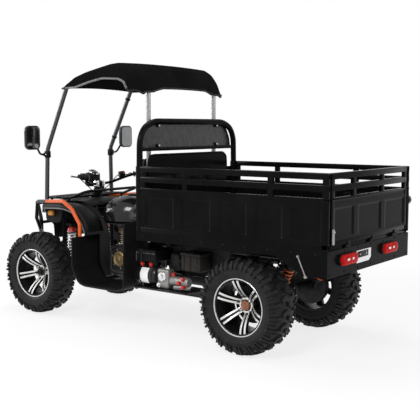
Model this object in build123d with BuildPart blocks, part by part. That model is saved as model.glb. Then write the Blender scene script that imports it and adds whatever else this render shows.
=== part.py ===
from build123d import *
import os
from math import cos, radians, sin, tan

# A utility quad bike with a bench seat, a roof on four posts and a cargo bed that tips.
# Millimetres. +X is forward, +Y is to the left, +Z is up, origin on the ground under the middle.

# Overall layout
REAR_OVERHANG = 650  # rear axle to the tail lamps' faces
LAMP_DEPTH = 9
BED_LENGTH = 1485
CAB_LENGTH = 1136  # front of the bed to the front axle
FRONT_OVERHANG = 340  # front axle to the bumper's face
WHEELBASE = LAMP_DEPTH + BED_LENGTH + CAB_LENGTH - REAR_OVERHANG
LENGTH = REAR_OVERHANG + WHEELBASE + FRONT_OVERHANG
REAR_AXLE_X = REAR_OVERHANG - LENGTH / 2
FRONT_AXLE_X = REAR_AXLE_X + WHEELBASE
SEAT_GAP = 0.3  # between separate pieces that bear on each other
RUN_GAP = 5  # between pieces that move past each other
SIDES = (1, -1)  # left, right

# Wheels
TYRE_R = 318
AXLE_Z = TYRE_R
BEAD_R = 172
FLANGE_R = 190
FLANGE_T = 6
BARREL_WALL = 6
HUB_R = 50
SPOKES = 6
REAR_TYRE_FACE = 582
REAR_TYRE_WIDTH = 250
FRONT_TYRE_FACE = 548
FRONT_TYRE_WIDTH = 207
REAR_WHEEL_Y = REAR_TYRE_FACE - REAR_TYRE_WIDTH / 2
FRONT_WHEEL_Y = FRONT_TYRE_FACE - FRONT_TYRE_WIDTH / 2

# Front suspension and steering
KINGPIN_Y = 390
KINGPIN_R = 16
KINGPIN_DROP = 72
SPINDLE_R = 22
STEER_ARM = 100
TIE_ROD_Z = AXLE_Z + 40
TIE_ROD_R = 8
ARM_R = 12
ARM_SPREAD = 120
COLUMN_R = 16
COLUMN_LEAN = 20
STEM_Z = 910
STEM_X = FRONT_AXLE_X - 190
BAR_R = 11
GRIP_R = 17
GRIP_LENGTH = 125

# Frame tubes
RAIL_R = 20
RAIL_Y = 250
NOSE_Y = 130
RAIL_Z = 280
NOSE_Z = 245
UPPER_RAIL_Z = 620
UPPER_NOSE_Z = 410
TANK_RAIL_R = 16
TANK_RAIL_Z = 718
DECK_NOSE_Z = 842  # top of the front deck at its nose, from where it rises towards the rider
DECK_RISE = 0.08
DECK_NOSE = 95  # nose of the deck forward of the front axle
DECK_T = 12

# Cargo bed
BED_HALF = 574
BED_REAR_X = -LENGTH / 2 + LAMP_DEPTH
BED_FRONT_X = BED_REAR_X + BED_LENGTH
BED_WALL = 25
BED_POST = 40
BED_FLOOR_Z = 760
BED_FLOOR_T = 18
BED_RAIL_Z = 680  # underside of the bed's own beams
BED_BEAM = 40
BED_BEAM_Y = 330
RAIL_TOP_Z = 1189
PANEL_TOP_Z = RAIL_TOP_Z - 146
RAIL_BAR = 46
TIP_X = BED_REAR_X + 141
TIP_Z = 650
TIP_PIN_R = 15
SKIRT_Z = 573
SKIRT_T = 12
GATE_PIN_X = BED_REAR_X - 2
GATE_PIN_Z = BED_FLOOR_Z - 15
GATE_PIN_R = 9
HOOP_R = BED_POST / 2
HOOP_RISE = 324

# Tipping cylinder, from its foot on the frame to its eye under the bed
FOOT_X = REAR_AXLE_X + 450
FOOT_Z = 445
EYE_X = REAR_AXLE_X - 15
EYE_Z = 690
BARREL_R = 30
ROD_R = 14
EYE_R = 22
EYE_WIDTH = 36
EAR_Y = EYE_WIDTH / 2 + 4
EAR_T = 10
FOOT_PIN_R = 10

# Cab
REAR_POST_X = BED_FRONT_X + 48
REAR_POST_Y = 381
FRONT_POST_X = FRONT_AXLE_X - 5
FRONT_POST_Y = 353
FRONT_POST_TOP_Z = 1751
POST_R = 17
ROOF_T = 14
ROOF_LOW_Z = 1704
ROOF_TOP_Z = 1917
FOOT_INNER_Y = RAIL_Y + RAIL_R + SEAT_GAP
FOOT_OUTER_Y = 550
FOOT_WALL = 12
FOOT_FLOOR_Z = 284
FOOT_FRONT_X = FRONT_AXLE_X - 470
FOOT_REAR_X = BED_FRONT_X + 122
SEAT_Z = 780
SEAT_THICK = 100
SEAT_HALF = 430
SEAT_REACH = 259  # forward of the footwells' rear walls


def tube(points, radius, bend):
    """Add a round tube along straight runs that are joined by tangent bends."""
    with BuildLine() as route:
        FilletPolyline(*points, radius=bend)
    with BuildSketch(Plane(origin=route.line @ 0, z_dir=route.line % 0)) as section:
        Circle(radius)
    sweep(section.sketch, path=route.line)


def bar(start, end, radius, mode=Mode.ADD):
    """Add a straight round bar from one point to another."""
    run = Vector(*end) - Vector(*start)
    with BuildSketch(Plane(origin=start, z_dir=run)) as section:
        Circle(radius)
    extrude(section.sketch, amount=run.length, mode=mode)


def block(x_span, y_span, z_span, mode=Mode.ADD):
    """Add a box that fills three spans."""
    spans = (x_span, y_span, z_span)
    with Locations(tuple((low + high) / 2 for low, high in spans)):
        Box(*(abs(high - low) for low, high in spans), mode=mode)


def plate_xz(points, y_span, mode=Mode.ADD):
    """Add a plate with an outline in X and Z, between two distances to the left."""
    with BuildSketch(Plane.XZ.offset(-max(y_span))) as section:
        with BuildLine():
            Polyline(*points, close=True)
        make_face()
    extrude(section.sketch, amount=max(y_span) - min(y_span), mode=mode)


def plate_yz(points, x_span, mode=Mode.ADD):
    """Add a plate with an outline in Y and Z, between two distances forward."""
    with BuildSketch(Plane.YZ.offset(min(x_span))) as section:
        with BuildLine():
            Polyline(*points, close=True)
        make_face()
    extrude(section.sketch, amount=max(x_span) - min(x_span), mode=mode)


def column_point(height):
    """Return the point of the steering column's axis at one height."""
    return (STEM_X + (STEM_Z - height) * tan(radians(COLUMN_LEAN)), 0, height)


def deck_top(x):
    """Return the height of the front deck's upper face at one place along the quad."""
    return DECK_NOSE_Z + DECK_RISE * (FRONT_AXLE_X + DECK_NOSE - x)


def save(part, label):
    """Label a finished piece and write its file."""
    part.label = label
    export_step(part, f"parts/{label}.step")


os.makedirs("parts", exist_ok=True)

# Wheels: one row each, with its name, axle, tyre width, tyre centre, rim width and side
WHEELS = [
    ("rear_left", REAR_AXLE_X, REAR_TYRE_WIDTH, REAR_WHEEL_Y, 200, 1),
    ("rear_right", REAR_AXLE_X, REAR_TYRE_WIDTH, REAR_WHEEL_Y, 200, -1),
    ("front_left", FRONT_AXLE_X, FRONT_TYRE_WIDTH, FRONT_WHEEL_Y, 152, 1),
    ("front_right", FRONT_AXLE_X, FRONT_TYRE_WIDTH, FRONT_WHEEL_Y, 152, -1),
]
SHOULDER = 26
WEB_T = 12
WINDOW_IN_R = 66
WINDOW_OUT_R = 156
HUB_INSET = 12

for name, axle_x, tyre_width, wheel_y, rim_width, side in WHEELS:
    spin = Axis((axle_x, 0, AXLE_Z), (0, 1, 0))
    section_plane = Plane(origin=(axle_x, side * wheel_y, AXLE_Z), x_dir=(0, side, 0), z_dir=(side, 0, 0))
    half = tyre_width / 2
    bead = rim_width / 2 - SEAT_GAP
    tyre_half = [
        (bead, BEAD_R + SEAT_GAP),
        (bead, FLANGE_R + 3),
        (half - 5, FLANGE_R + 35),
        (half, FLANGE_R + 65),
        (half - 8, TYRE_R - SHOULDER),
        (half - SHOULDER, TYRE_R),
    ]
    with BuildPart() as tyre:
        with BuildSketch(section_plane):
            with BuildLine():
                Polyline(*tyre_half, *[(-y, r) for y, r in reversed(tyre_half)], close=True)
            make_face()
        revolve(axis=spin)
    save(tyre.part, f"tyre_{name}")

    rim_half = rim_width / 2
    with BuildPart() as rim:
        with BuildSketch(section_plane):
            with Locations((0, BEAD_R - BARREL_WALL / 2)):
                Rectangle(rim_width + 2 * FLANGE_T, BARREL_WALL)
            for end in SIDES:
                with Locations((end * (rim_half + FLANGE_T / 2), (BEAD_R + FLANGE_R) / 2)):
                    Rectangle(FLANGE_T, FLANGE_R - BEAD_R)
            with BuildLine():
                Polyline(
                    (HUB_INSET, 0),
                    (HUB_INSET, HUB_R),
                    (rim_half - 30 - WEB_T, BEAD_R - BARREL_WALL + 2),
                    (rim_half - 30, BEAD_R - BARREL_WALL + 2),
                    (HUB_INSET + 18, HUB_R),
                    (HUB_INSET + 34, HUB_R - 12),
                    (HUB_INSET + 34, 0),
                    close=True,
                )
            make_face()
        revolve(axis=spin)
        with BuildSketch(Plane(origin=(axle_x, side * wheel_y, AXLE_Z), z_dir=(0, side, 0))):
            with PolarLocations(0, SPOKES, start_angle=90):
                Polygon(
                    (WINDOW_IN_R, -14), (WINDOW_OUT_R, -48), (WINDOW_OUT_R, 48), (WINDOW_IN_R, 14), align=None
                )
        extrude(amount=tyre_width, mode=Mode.SUBTRACT)
    save(rim.part, f"rim_{name}")

# Knuckles, one for each front wheel
HUB_IN_Y = FRONT_WHEEL_Y + HUB_INSET
for name, side in (("left", 1), ("right", -1)):
    with BuildPart() as knuckle:
        king_x, king_y = FRONT_AXLE_X, side * KINGPIN_Y
        bar((king_x, king_y, AXLE_Z - KINGPIN_DROP), (king_x, king_y, AXLE_Z + KINGPIN_DROP), KINGPIN_R)
        bar((king_x, king_y, AXLE_Z), (king_x, side * (HUB_IN_Y - SEAT_GAP), AXLE_Z), SPINDLE_R)
        bar((king_x, king_y, TIE_ROD_Z - 22), (king_x + STEER_ARM, king_y, TIE_ROD_Z - 22), 10)
        bar((king_x + STEER_ARM, king_y, TIE_ROD_Z - 34), (king_x + STEER_ARM, king_y, TIE_ROD_Z + 14), 6)
    save(knuckle.part, f"knuckle_{name}")

    with BuildPart() as tie_rod:
        rod_x = FRONT_AXLE_X + STEER_ARM
        rod_end = Vector(rod_x, side * KINGPIN_Y, TIE_ROD_Z)
        bar((rod_x, side * 30, TIE_ROD_Z), rod_end, TIE_ROD_R)
        with Locations(rod_end):
            Cylinder(15, 20)
            Cylinder(6 + SEAT_GAP, 40, mode=Mode.SUBTRACT)
    save(tie_rod.part, f"tie_rod_{name}")

# Front suspension arms, with their ball joints above and below the knuckles
ARM_INNER_Y = NOSE_Y + RAIL_R + SEAT_GAP + ARM_R
UPPER_ARM_REACH = (-30, ARM_SPREAD)
LOWER_ARM_REACH = (-ARM_SPREAD, ARM_SPREAD)
BALL_R = 20
BALL_H = 30
with BuildPart() as front_arms:
    for arm_z, reach, ball_z in (
        (NOSE_Z, LOWER_ARM_REACH, AXLE_Z - KINGPIN_DROP - SEAT_GAP - BALL_H / 2),
        (UPPER_NOSE_Z, UPPER_ARM_REACH, AXLE_Z + KINGPIN_DROP + SEAT_GAP + BALL_H / 2),
    ):
        ball = (FRONT_AXLE_X, KINGPIN_Y, ball_z)
        with Locations(ball):
            Cylinder(BALL_R, BALL_H)
        for step in reach:
            bar((FRONT_AXLE_X + step, ARM_INNER_Y, arm_z), ball, ARM_R)
        bar(
            (FRONT_AXLE_X + reach[0] - 20, ARM_INNER_Y, arm_z),
            (FRONT_AXLE_X + reach[1] + 20, ARM_INNER_Y, arm_z),
            ARM_R,
        )
    mirror(about=Plane.XZ)
save(front_arms.part, "front_arms")

# Front spring struts, each on the rear leg of a lower arm
STRUT_X = FRONT_AXLE_X - 95
STRUT_R = 38
STRUT_FOOT = (STRUT_X, 205, NOSE_Z + ARM_R + SEAT_GAP + 6)
STRUT_HEAD = (STRUT_X, 188, 665)
with BuildPart() as front_struts:
    bar(STRUT_FOOT, STRUT_HEAD, 14)
    rise = Vector(*STRUT_HEAD) - Vector(*STRUT_FOOT)
    spring = [tuple(Vector(*STRUT_FOOT) + rise * share) for share in (0.32, 0.93)]
    bar(*spring, STRUT_R)
    mirror(about=Plane.XZ)
save(front_struts.part, "front_struts")

# Main frame
HINGE_END_X = TIP_X - 15
SEAT_BEAM = 40
CROSS_R = 16
POST_BACK_X = FRONT_AXLE_X - 230
POST_NOSE_X = FRONT_AXLE_X + 60
SEAT_FRONT_X = REAR_POST_X + 250
HEAD_Z = 800
HEAD_X = column_point(HEAD_Z)[0]
with BuildPart() as frame:
    # lower rail, nose loop and tank rail of the left side
    tube(
        [
            (FOOT_X - 35, RAIL_Y, RAIL_Z),
            (FRONT_AXLE_X - 405, RAIL_Y, RAIL_Z),
            (FRONT_AXLE_X - 185, NOSE_Y, NOSE_Z),
            (FRONT_AXLE_X + 185, NOSE_Y, NOSE_Z),
        ],
        RAIL_R,
        90,
    )
    tube(
        [
            (POST_BACK_X, NOSE_Y, NOSE_Z + 8),
            (POST_BACK_X, NOSE_Y, UPPER_NOSE_Z),
            (FRONT_AXLE_X + 165, NOSE_Y, UPPER_NOSE_Z),
            (FRONT_AXLE_X + 165, NOSE_Y, NOSE_Z),
        ],
        RAIL_R - 2,
        45,
    )
    tube(
        [
            (POST_BACK_X, NOSE_Y, TANK_RAIL_Z),
            (SEAT_FRONT_X, NOSE_Y, TANK_RAIL_Z),
            (SEAT_FRONT_X, NOSE_Y, RAIL_Z),
        ],
        TANK_RAIL_R,
        60,
    )
    # upper rail, its leg, and the uprights: start, end and radius
    for start, end, radius in (
        ((HINGE_END_X, RAIL_Y, UPPER_RAIL_Z), (REAR_POST_X + 15, RAIL_Y, UPPER_RAIL_Z), RAIL_R),
        ((REAR_POST_X, RAIL_Y, UPPER_RAIL_Z), (REAR_POST_X + 40, RAIL_Y, RAIL_Z), RAIL_R - 3),
        ((POST_BACK_X, NOSE_Y, UPPER_NOSE_Z), (POST_BACK_X, NOSE_Y, deck_top(POST_BACK_X) - DECK_T - 2), 15),
        ((POST_NOSE_X, NOSE_Y, UPPER_NOSE_Z), (POST_NOSE_X, NOSE_Y, deck_top(POST_NOSE_X) - DECK_T - 2), 15),
        ((STRUT_X, NOSE_Y, UPPER_NOSE_Z), (STRUT_X, NOSE_Y, STRUT_HEAD[2] + 10), 14),
        ((FOOT_X, RAIL_Y, RAIL_Z), (FOOT_X, RAIL_Y, FOOT_Z - 50), 17),
        ((HEAD_X, NOSE_Y, HEAD_Z), (POST_BACK_X, NOSE_Y, HEAD_Z - 30), 12),
    ):
        bar(start, end, radius)
    block((STRUT_X - 30, STRUT_X + 30), (NOSE_Y - 10, NOSE_Y + 90), (STRUT_HEAD[2] + 1.5, STRUT_HEAD[2] + 21))
    block((TIP_X - 24, TIP_X + 24), (RAIL_Y - 13, RAIL_Y + 13), (UPPER_RAIL_Z, TIP_Z + 20))
    block((REAR_POST_X, SEAT_FRONT_X), (NOSE_Y - 12, NOSE_Y + 12), (UPPER_RAIL_Z - 12, UPPER_RAIL_Z + 18))
    # an ear for the foot of the tipping cylinder
    plate_xz(
        [
            (FOOT_X - 24, FOOT_Z - 60),
            (FOOT_X + 24, FOOT_Z - 60),
            (FOOT_X + 18, FOOT_Z + 18),
            (FOOT_X - 18, FOOT_Z + 18),
        ],
        (EAR_Y, EAR_Y + EAR_T),
    )
    mirror(about=Plane.XZ)
    # cross members: place forward, height, half width and radius
    for cross_x, cross_z, reach, radius in (
        (FOOT_X, FOOT_Z - 50, RAIL_Y, CROSS_R),
        (SEAT_FRONT_X, RAIL_Z - 14, RAIL_Y, CROSS_R),
        (FRONT_AXLE_X - 500, RAIL_Z, RAIL_Y, CROSS_R),
        (POST_BACK_X, NOSE_Z, NOSE_Y, CROSS_R),
        (FRONT_AXLE_X + 165, NOSE_Z, NOSE_Y, CROSS_R),
        (POST_NOSE_X, deck_top(POST_NOSE_X) - 60, NOSE_Y, 12),
        (HEAD_X, HEAD_Z, NOSE_Y, 10),
        (BED_REAR_X + 350, UPPER_RAIL_Z, RAIL_Y, CROSS_R),
        (TIP_X, TIP_Z, BED_BEAM_Y + 18, TIP_PIN_R),
        (FOOT_X, FOOT_Z, EAR_Y + EAR_T, FOOT_PIN_R),
    ):
        bar((cross_x, -reach, cross_z), (cross_x, reach, cross_z), radius)
    # the bed's rest, and the beam that carries the rear posts
    block(
        (BED_FRONT_X - 130, BED_FRONT_X - 90),
        (-BED_BEAM_Y - 30, BED_BEAM_Y + 30),
        (UPPER_RAIL_Z, BED_RAIL_Z - SEAT_GAP),
    )
    block(
        (REAR_POST_X - SEAT_BEAM / 2, REAR_POST_X + SEAT_BEAM / 2),
        (-REAR_POST_Y - 30, REAR_POST_Y + 30),
        (UPPER_RAIL_Z - SEAT_BEAM / 2, UPPER_RAIL_Z + SEAT_BEAM / 2),
    )
    # the bearing that carries the steering column
    bar(column_point(HEAD_Z - 30), column_point(HEAD_Z + 30), COLUMN_R + 14)
    bar(column_point(HEAD_Z - 60), column_point(HEAD_Z + 60), COLUMN_R + 1, mode=Mode.SUBTRACT)
save(frame.part, "frame")

# Engine: crankcase, cylinder and side covers
ENGINE_X = (FRONT_AXLE_X - 805, FRONT_AXLE_X - 465)
ENGINE_Z = (RAIL_Z + CROSS_R + SEAT_GAP, 540)
ENGINE_HALF = 180
COVER_R = 88
with BuildPart() as engine:
    block(ENGINE_X, (-ENGINE_HALF, ENGINE_HALF), ENGINE_Z)
    block((ENGINE_X[0] + 110, ENGINE_X[0] + 270), (-95, 95), (ENGINE_Z[1], TANK_RAIL_Z - 20))
    for side in SIDES:
        cover_x, cover_z = ENGINE_X[0] + 165, ENGINE_Z[1] - 60
        bar((cover_x, side * ENGINE_HALF, cover_z), (cover_x, side * (ENGINE_HALF + 40), cover_z), COVER_R)
save(engine.part, "engine")

# Exhaust pipe and silencer
PIPE_R = 20
SILENCER_R = 55
SILENCER_X = (BED_FRONT_X - 630, BED_FRONT_X - 230)
with BuildPart() as exhaust:
    tube(
        [
            (ENGINE_X[0] - SEAT_GAP, -60, 500),
            (BED_FRONT_X + 90, -60, 500),
            (BED_FRONT_X - 90, -170, 500),
            (SILENCER_X[1], -170, 500),
        ],
        PIPE_R,
        70,
    )
    bar((SILENCER_X[1], -170, 500), (SILENCER_X[0], -170, 500), SILENCER_R)
    bar((SILENCER_X[0], -170, 500), (SILENCER_X[0] - 60, -170, 500), PIPE_R)
save(exhaust.part, "exhaust")

# Rear axle housing with its trailing arms and the shaft's tube
AXLE_TUBE_R = 38
DIFF_R = 92
TRAIL_X = FOOT_X - 20
TRAIL_Y = 295
TRAIL_R = 18
with BuildPart() as rear_axle:
    end_y = REAR_WHEEL_Y + HUB_INSET - SEAT_GAP
    bar((REAR_AXLE_X, -end_y, AXLE_Z), (REAR_AXLE_X, end_y, AXLE_Z), AXLE_TUBE_R)
    bar((REAR_AXLE_X, -70, AXLE_Z), (REAR_AXLE_X, 70, AXLE_Z), DIFF_R)
    bar((REAR_AXLE_X, 0, AXLE_Z), (ENGINE_X[0] - SEAT_GAP, 0, AXLE_Z), 32)
    for side in SIDES:
        bar((REAR_AXLE_X, side * TRAIL_Y, AXLE_Z), (TRAIL_X, side * TRAIL_Y, RAIL_Z + 24), TRAIL_R)
        block(
            (TRAIL_X - 25, TRAIL_X + 25),
            (side * (RAIL_Y + RAIL_R + SEAT_GAP), side * (TRAIL_Y + 22)),
            (RAIL_Z - 5, RAIL_Z + 50),
        )
save(rear_axle.part, "rear_axle")

# Rear spring struts, behind the axle
REAR_STRUT_Y = 255
REAR_STRUT_FOOT = (REAR_AXLE_X - 85, REAR_STRUT_Y, AXLE_Z + 8)
REAR_STRUT_HEAD = (REAR_AXLE_X - 215, REAR_STRUT_Y, UPPER_RAIL_Z - RAIL_R - SEAT_GAP - 8)
with BuildPart() as rear_struts:
    bar(REAR_STRUT_FOOT, REAR_STRUT_HEAD, 14)
    rise = Vector(*REAR_STRUT_HEAD) - Vector(*REAR_STRUT_FOOT)
    spring = [tuple(Vector(*REAR_STRUT_FOOT) + rise * share) for share in (0.28, 0.85)]
    bar(*spring, STRUT_R)
    block(
        (REAR_AXLE_X - 110, REAR_AXLE_X - AXLE_TUBE_R - SEAT_GAP),
        (REAR_STRUT_Y - 18, REAR_STRUT_Y + 18),
        (AXLE_Z - 18, AXLE_Z + 18),
    )
    mirror(about=Plane.XZ)
save(rear_struts.part, "rear_struts")

# Front bumper
BUMPER_R = 16
BUMPER_X = LENGTH / 2 - BUMPER_R
BUMPER_TOP = (FRONT_AXLE_X + 195, 290, 848)
with BuildPart() as front_bumper:
    nose_end = FRONT_AXLE_X + 185 + SEAT_GAP
    tube(
        [
            (nose_end, NOSE_Y, NOSE_Z),
            (BUMPER_X - 60, NOSE_Y, NOSE_Z),
            (BUMPER_X, 135, 330),
            (BUMPER_X, 140, 690),
            BUMPER_TOP,
        ],
        BUMPER_R,
        60,
    )
    tube(
        [BUMPER_TOP, (BUMPER_TOP[0] + 8, 296, 720), (BUMPER_TOP[0] - 5, 272, 640), (BUMPER_X, 138, 540)],
        BUMPER_R - 2,
        30,
    )
    mirror(about=Plane.XZ)
    for cross_z in (420, 660):
        bar((BUMPER_X, -138, cross_z), (BUMPER_X, 138, cross_z), BUMPER_R - 3)
    bar((BUMPER_TOP[0], -290, BUMPER_TOP[2] - 8), (BUMPER_TOP[0], 290, BUMPER_TOP[2] - 8), BUMPER_R - 3)
save(front_bumper.part, "front_bumper")

# Guard tubes over the front wheels
GUARD_R = 14
GUARD_FRONT = (FRONT_AXLE_X + 160, 310, 858)
GUARD_BACK = (FRONT_AXLE_X - 290, 460, 893)
GUARD_FOOT = (FOOT_FRONT_X - 8, 470, 640)
with BuildPart() as guard_tubes:
    tube(
        [
            (BUMPER_TOP[0] - BUMPER_R - SEAT_GAP, 297, 848),
            GUARD_FRONT,
            GUARD_BACK,
            (FRONT_AXLE_X - 395, 468, 840),
            (GUARD_FOOT[0], 470, 730),
            GUARD_FOOT,
        ],
        GUARD_R,
        30,
    )
    mirror(about=Plane.XZ)
save(guard_tubes.part, "guard_tubes")

# Front body: deck, wheel arches, fascia and cheeks in one moulding
ARCH = [
    # the arch's outside, from the nose back over the wheel and down behind it: forward of axle, height
    (DECK_NOSE, deck_top(FRONT_AXLE_X + DECK_NOSE)),
    (-276, deck_top(FRONT_AXLE_X - 276)),
    (-417, 837),
    (-501, 766),
    (-541, 672),
]
ARCH_T = 10
ARCH_HALF = 452
FASCIA_X = FRONT_AXLE_X + DECK_NOSE
CHEEK_Y = 280
CHEEK_Z = 700
with BuildPart() as front_body:
    outside = [(FRONT_AXLE_X + x, z) for x, z in ARCH]
    inside = [
        (FRONT_AXLE_X + ARCH[4][0] + ARCH_T, ARCH[4][1] - 3),
        (FRONT_AXLE_X + ARCH[3][0] + ARCH_T, ARCH[3][1] - 6),
        (FRONT_AXLE_X + ARCH[2][0] + 5, ARCH[2][1] - DECK_T),
        (FRONT_AXLE_X + ARCH[1][0], ARCH[1][1] - DECK_T),
        (FRONT_AXLE_X + ARCH[0][0], ARCH[0][1] - DECK_T),
    ]
    plate_xz(outside + inside, (-ARCH_HALF, ARCH_HALF))
    for side in SIDES:
        plate_xz(
            [
                (FASCIA_X - 190, deck_top(FASCIA_X - 190) - DECK_T),
                (FASCIA_X, DECK_NOSE_Z - DECK_T),
                (FASCIA_X + 20, CHEEK_Z),
                (FASCIA_X - 150, CHEEK_Z),
            ],
            (side * (CHEEK_Y - 10), side * CHEEK_Y),
        )
    plate_xz(
        [
            (FASCIA_X - 12, DECK_NOSE_Z),
            (FASCIA_X, DECK_NOSE_Z),
            (FASCIA_X + 20, CHEEK_Z),
            (FASCIA_X + 8, CHEEK_Z),
        ],
        (-CHEEK_Y, CHEEK_Y),
    )
    plate_xz(
        [(FASCIA_X + 8, CHEEK_Z), (FASCIA_X + 20, CHEEK_Z), (FASCIA_X + 30, 545), (FASCIA_X + 18, 545)],
        (-175, 175),
    )
    # room for the tank cover and the steering column
    block((FRONT_AXLE_X - 560, FRONT_AXLE_X - 400), (-225, 225), (650, DECK_NOSE_Z + 60), mode=Mode.SUBTRACT)
    stem_x = column_point(DECK_NOSE_Z)[0]
    block((stem_x - 45, stem_x + 45), (-40, 40), (DECK_NOSE_Z - 30, DECK_NOSE_Z + 60), mode=Mode.SUBTRACT)
save(front_body.part, "front_body")

# Headlamps and amber indicators
HEADLAMP_Z = 770
HEADLAMP_SIZE = (130, 80)
FASCIA_LEAN = 20 / (DECK_NOSE_Z - CHEEK_Z)
HEADLAMP_X = FASCIA_X + FASCIA_LEAN * (DECK_NOSE_Z - HEADLAMP_Z + HEADLAMP_SIZE[1] / 2) + SEAT_GAP
with BuildPart() as front_lamps:
    for side in SIDES:
        with BuildSketch(Plane(origin=(HEADLAMP_X, side * 185, HEADLAMP_Z), x_dir=(0, 1, 0), z_dir=(1, 0, 0))):
            RectangleRounded(*HEADLAMP_SIZE, 25)
        extrude(amount=18)
        block(
            (FASCIA_X - 100, FASCIA_X - 40),
            (side * (CHEEK_Y + SEAT_GAP), side * (CHEEK_Y + 26)),
            (752, 792),
        )
save(front_lamps.part, "front_lamps")

# Front luggage rack
RACK_R = 11
RACK_X = (FRONT_AXLE_X - 373, FRONT_AXLE_X + 70)
RACK_HALF = 300
RACK_Z = 905
RACK_TAIL_Z = 961
with BuildPart() as front_rack:
    rack_front = (RACK_X[1], RACK_HALF, RACK_Z - 12)
    tube(
        [
            (RACK_X[1], 0, RACK_Z - 12),
            rack_front,
            (RACK_X[0] + 170, RACK_HALF, RACK_Z),
            (RACK_X[0], RACK_HALF - 10, RACK_TAIL_Z),
            (RACK_X[0], 0, RACK_TAIL_Z),
        ],
        RACK_R,
        50,
    )
    for leg_x in (RACK_X[1] - 60, RACK_X[0] + 190):
        bar((leg_x, RACK_HALF, deck_top(leg_x) + 1), (leg_x, RACK_HALF, RACK_Z - 4), RACK_R - 1)
    mirror(about=Plane.XZ)
    for step in (75, 145, 205):
        bar((RACK_X[1] - step, -RACK_HALF, RACK_Z - 6), (RACK_X[1] - step, RACK_HALF, RACK_Z - 6), RACK_R - 2)
save(front_rack.part, "front_rack")

# Tank cover between the rider's knees
TANK_X = (FOOT_REAR_X + SEAT_REACH + 15, FRONT_AXLE_X - 412)
TANK_Z = (TANK_RAIL_Z + TANK_RAIL_R + SEAT_GAP, 926)
TANK_HALF = 205
with BuildPart() as tank_cover:
    block(TANK_X, (-TANK_HALF, TANK_HALF), TANK_Z)
    fillet(tank_cover.edges().filter_by(Axis.X).group_by(Axis.Z)[-1], 70)
    fillet(tank_cover.edges().filter_by(Axis.Z), 50)
save(tank_cover.part, "tank_cover")

# Footwells: floor with a front and a rear wall, open to the sides
FOOT_LINE = [
    # the underside from the front wall's top round to the rear wall's top
    (FOOT_FRONT_X - 14, GUARD_FOOT[2] - SEAT_GAP),
    (FOOT_FRONT_X, 392),
    (FOOT_FRONT_X - 72, FOOT_FLOOR_Z + 12),
    (FOOT_FRONT_X - 130, FOOT_FLOOR_Z),
    (FOOT_REAR_X + 60, FOOT_FLOOR_Z),
    (FOOT_REAR_X + 18, FOOT_FLOOR_Z + 30),
    (FOOT_REAR_X, SEAT_Z - SEAT_GAP),
]
FOOT_INSET = [(-1, 0), (-1, 0.1), (-0.7, 0.9), (0, 1), (0.2, 1), (1, 0.5), (1, 0)]
for name, side in (("left", 1), ("right", -1)):
    with BuildPart() as footwell:
        inner_line = [(x + FOOT_WALL * u, z + FOOT_WALL * w) for (x, z), (u, w) in zip(FOOT_LINE, FOOT_INSET)]
        plate_xz(FOOT_LINE + inner_line[::-1], (side * FOOT_INNER_Y, side * FOOT_OUTER_Y))
    save(footwell.part, f"footwell_{name}")

# Bench seat
SEAT_X = (REAR_POST_X + POST_R + RUN_GAP, FOOT_REAR_X + SEAT_REACH)
SEAT_BASE_Z = UPPER_RAIL_Z + 20 + SEAT_GAP
with BuildPart() as seat_base:
    block((SEAT_X[0] + 10, FOOT_REAR_X + 110), (-260, 260), (SEAT_BASE_Z, SEAT_Z - SEAT_GAP))
save(seat_base.part, "seat_base")

with BuildPart() as seat_cushion:
    with BuildSketch(Plane.XY.offset(SEAT_Z)):
        with BuildLine():
            Polyline(
                (SEAT_X[0], SEAT_HALF),
                (SEAT_X[0] + 145, SEAT_HALF),
                (SEAT_X[1] - 10, 240),
                (SEAT_X[1], 0),
                (SEAT_X[1] - 10, -240),
                (SEAT_X[0] + 145, -SEAT_HALF),
                (SEAT_X[0], -SEAT_HALF),
                close=True,
            )
        make_face()
    extrude(amount=SEAT_THICK)
    fillet(seat_cushion.edges().filter_by(Axis.Z), 40)
save(seat_cushion.part, "seat_cushion")

BACK_TOP_Z = 1245
with BuildPart() as seat_back:
    with BuildSketch(Plane.YZ.offset(SEAT_X[0])):
        with Locations((0, (SEAT_Z + SEAT_THICK + SEAT_GAP + BACK_TOP_Z) / 2)):
            RectangleRounded(2 * SEAT_HALF, BACK_TOP_Z - SEAT_Z - SEAT_THICK - SEAT_GAP, 60)
    extrude(amount=80)
save(seat_back.part, "seat_back")

# Roof posts
guard_run = Vector(*GUARD_BACK) - Vector(*GUARD_FRONT)
post_share = (FRONT_POST_X - GUARD_FRONT[0]) / guard_run.X
post_foot = Vector(*GUARD_FRONT) + guard_run * post_share
POST_LIFT = 2
FRONT_POST_BEND_Z = 1276
FRONT_POST_TOP_X = FRONT_AXLE_X - 245
with BuildPart() as roof_posts:
    tube(
        [
            (post_foot.X, post_foot.Y, post_foot.Z + GUARD_R + POST_LIFT),
            (FRONT_POST_X - 5, FRONT_POST_Y, FRONT_POST_BEND_Z),
            (FRONT_POST_TOP_X, FRONT_POST_Y + 7, FRONT_POST_TOP_Z),
        ],
        POST_R,
        120,
    )
    bar(
        (REAR_POST_X, REAR_POST_Y, SEAT_BASE_Z),
        (REAR_POST_X, REAR_POST_Y, ROOF_LOW_Z - SEAT_GAP),
        POST_R,
    )
    mirror(about=Plane.XZ)
save(roof_posts.part, "roof_posts")

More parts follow.
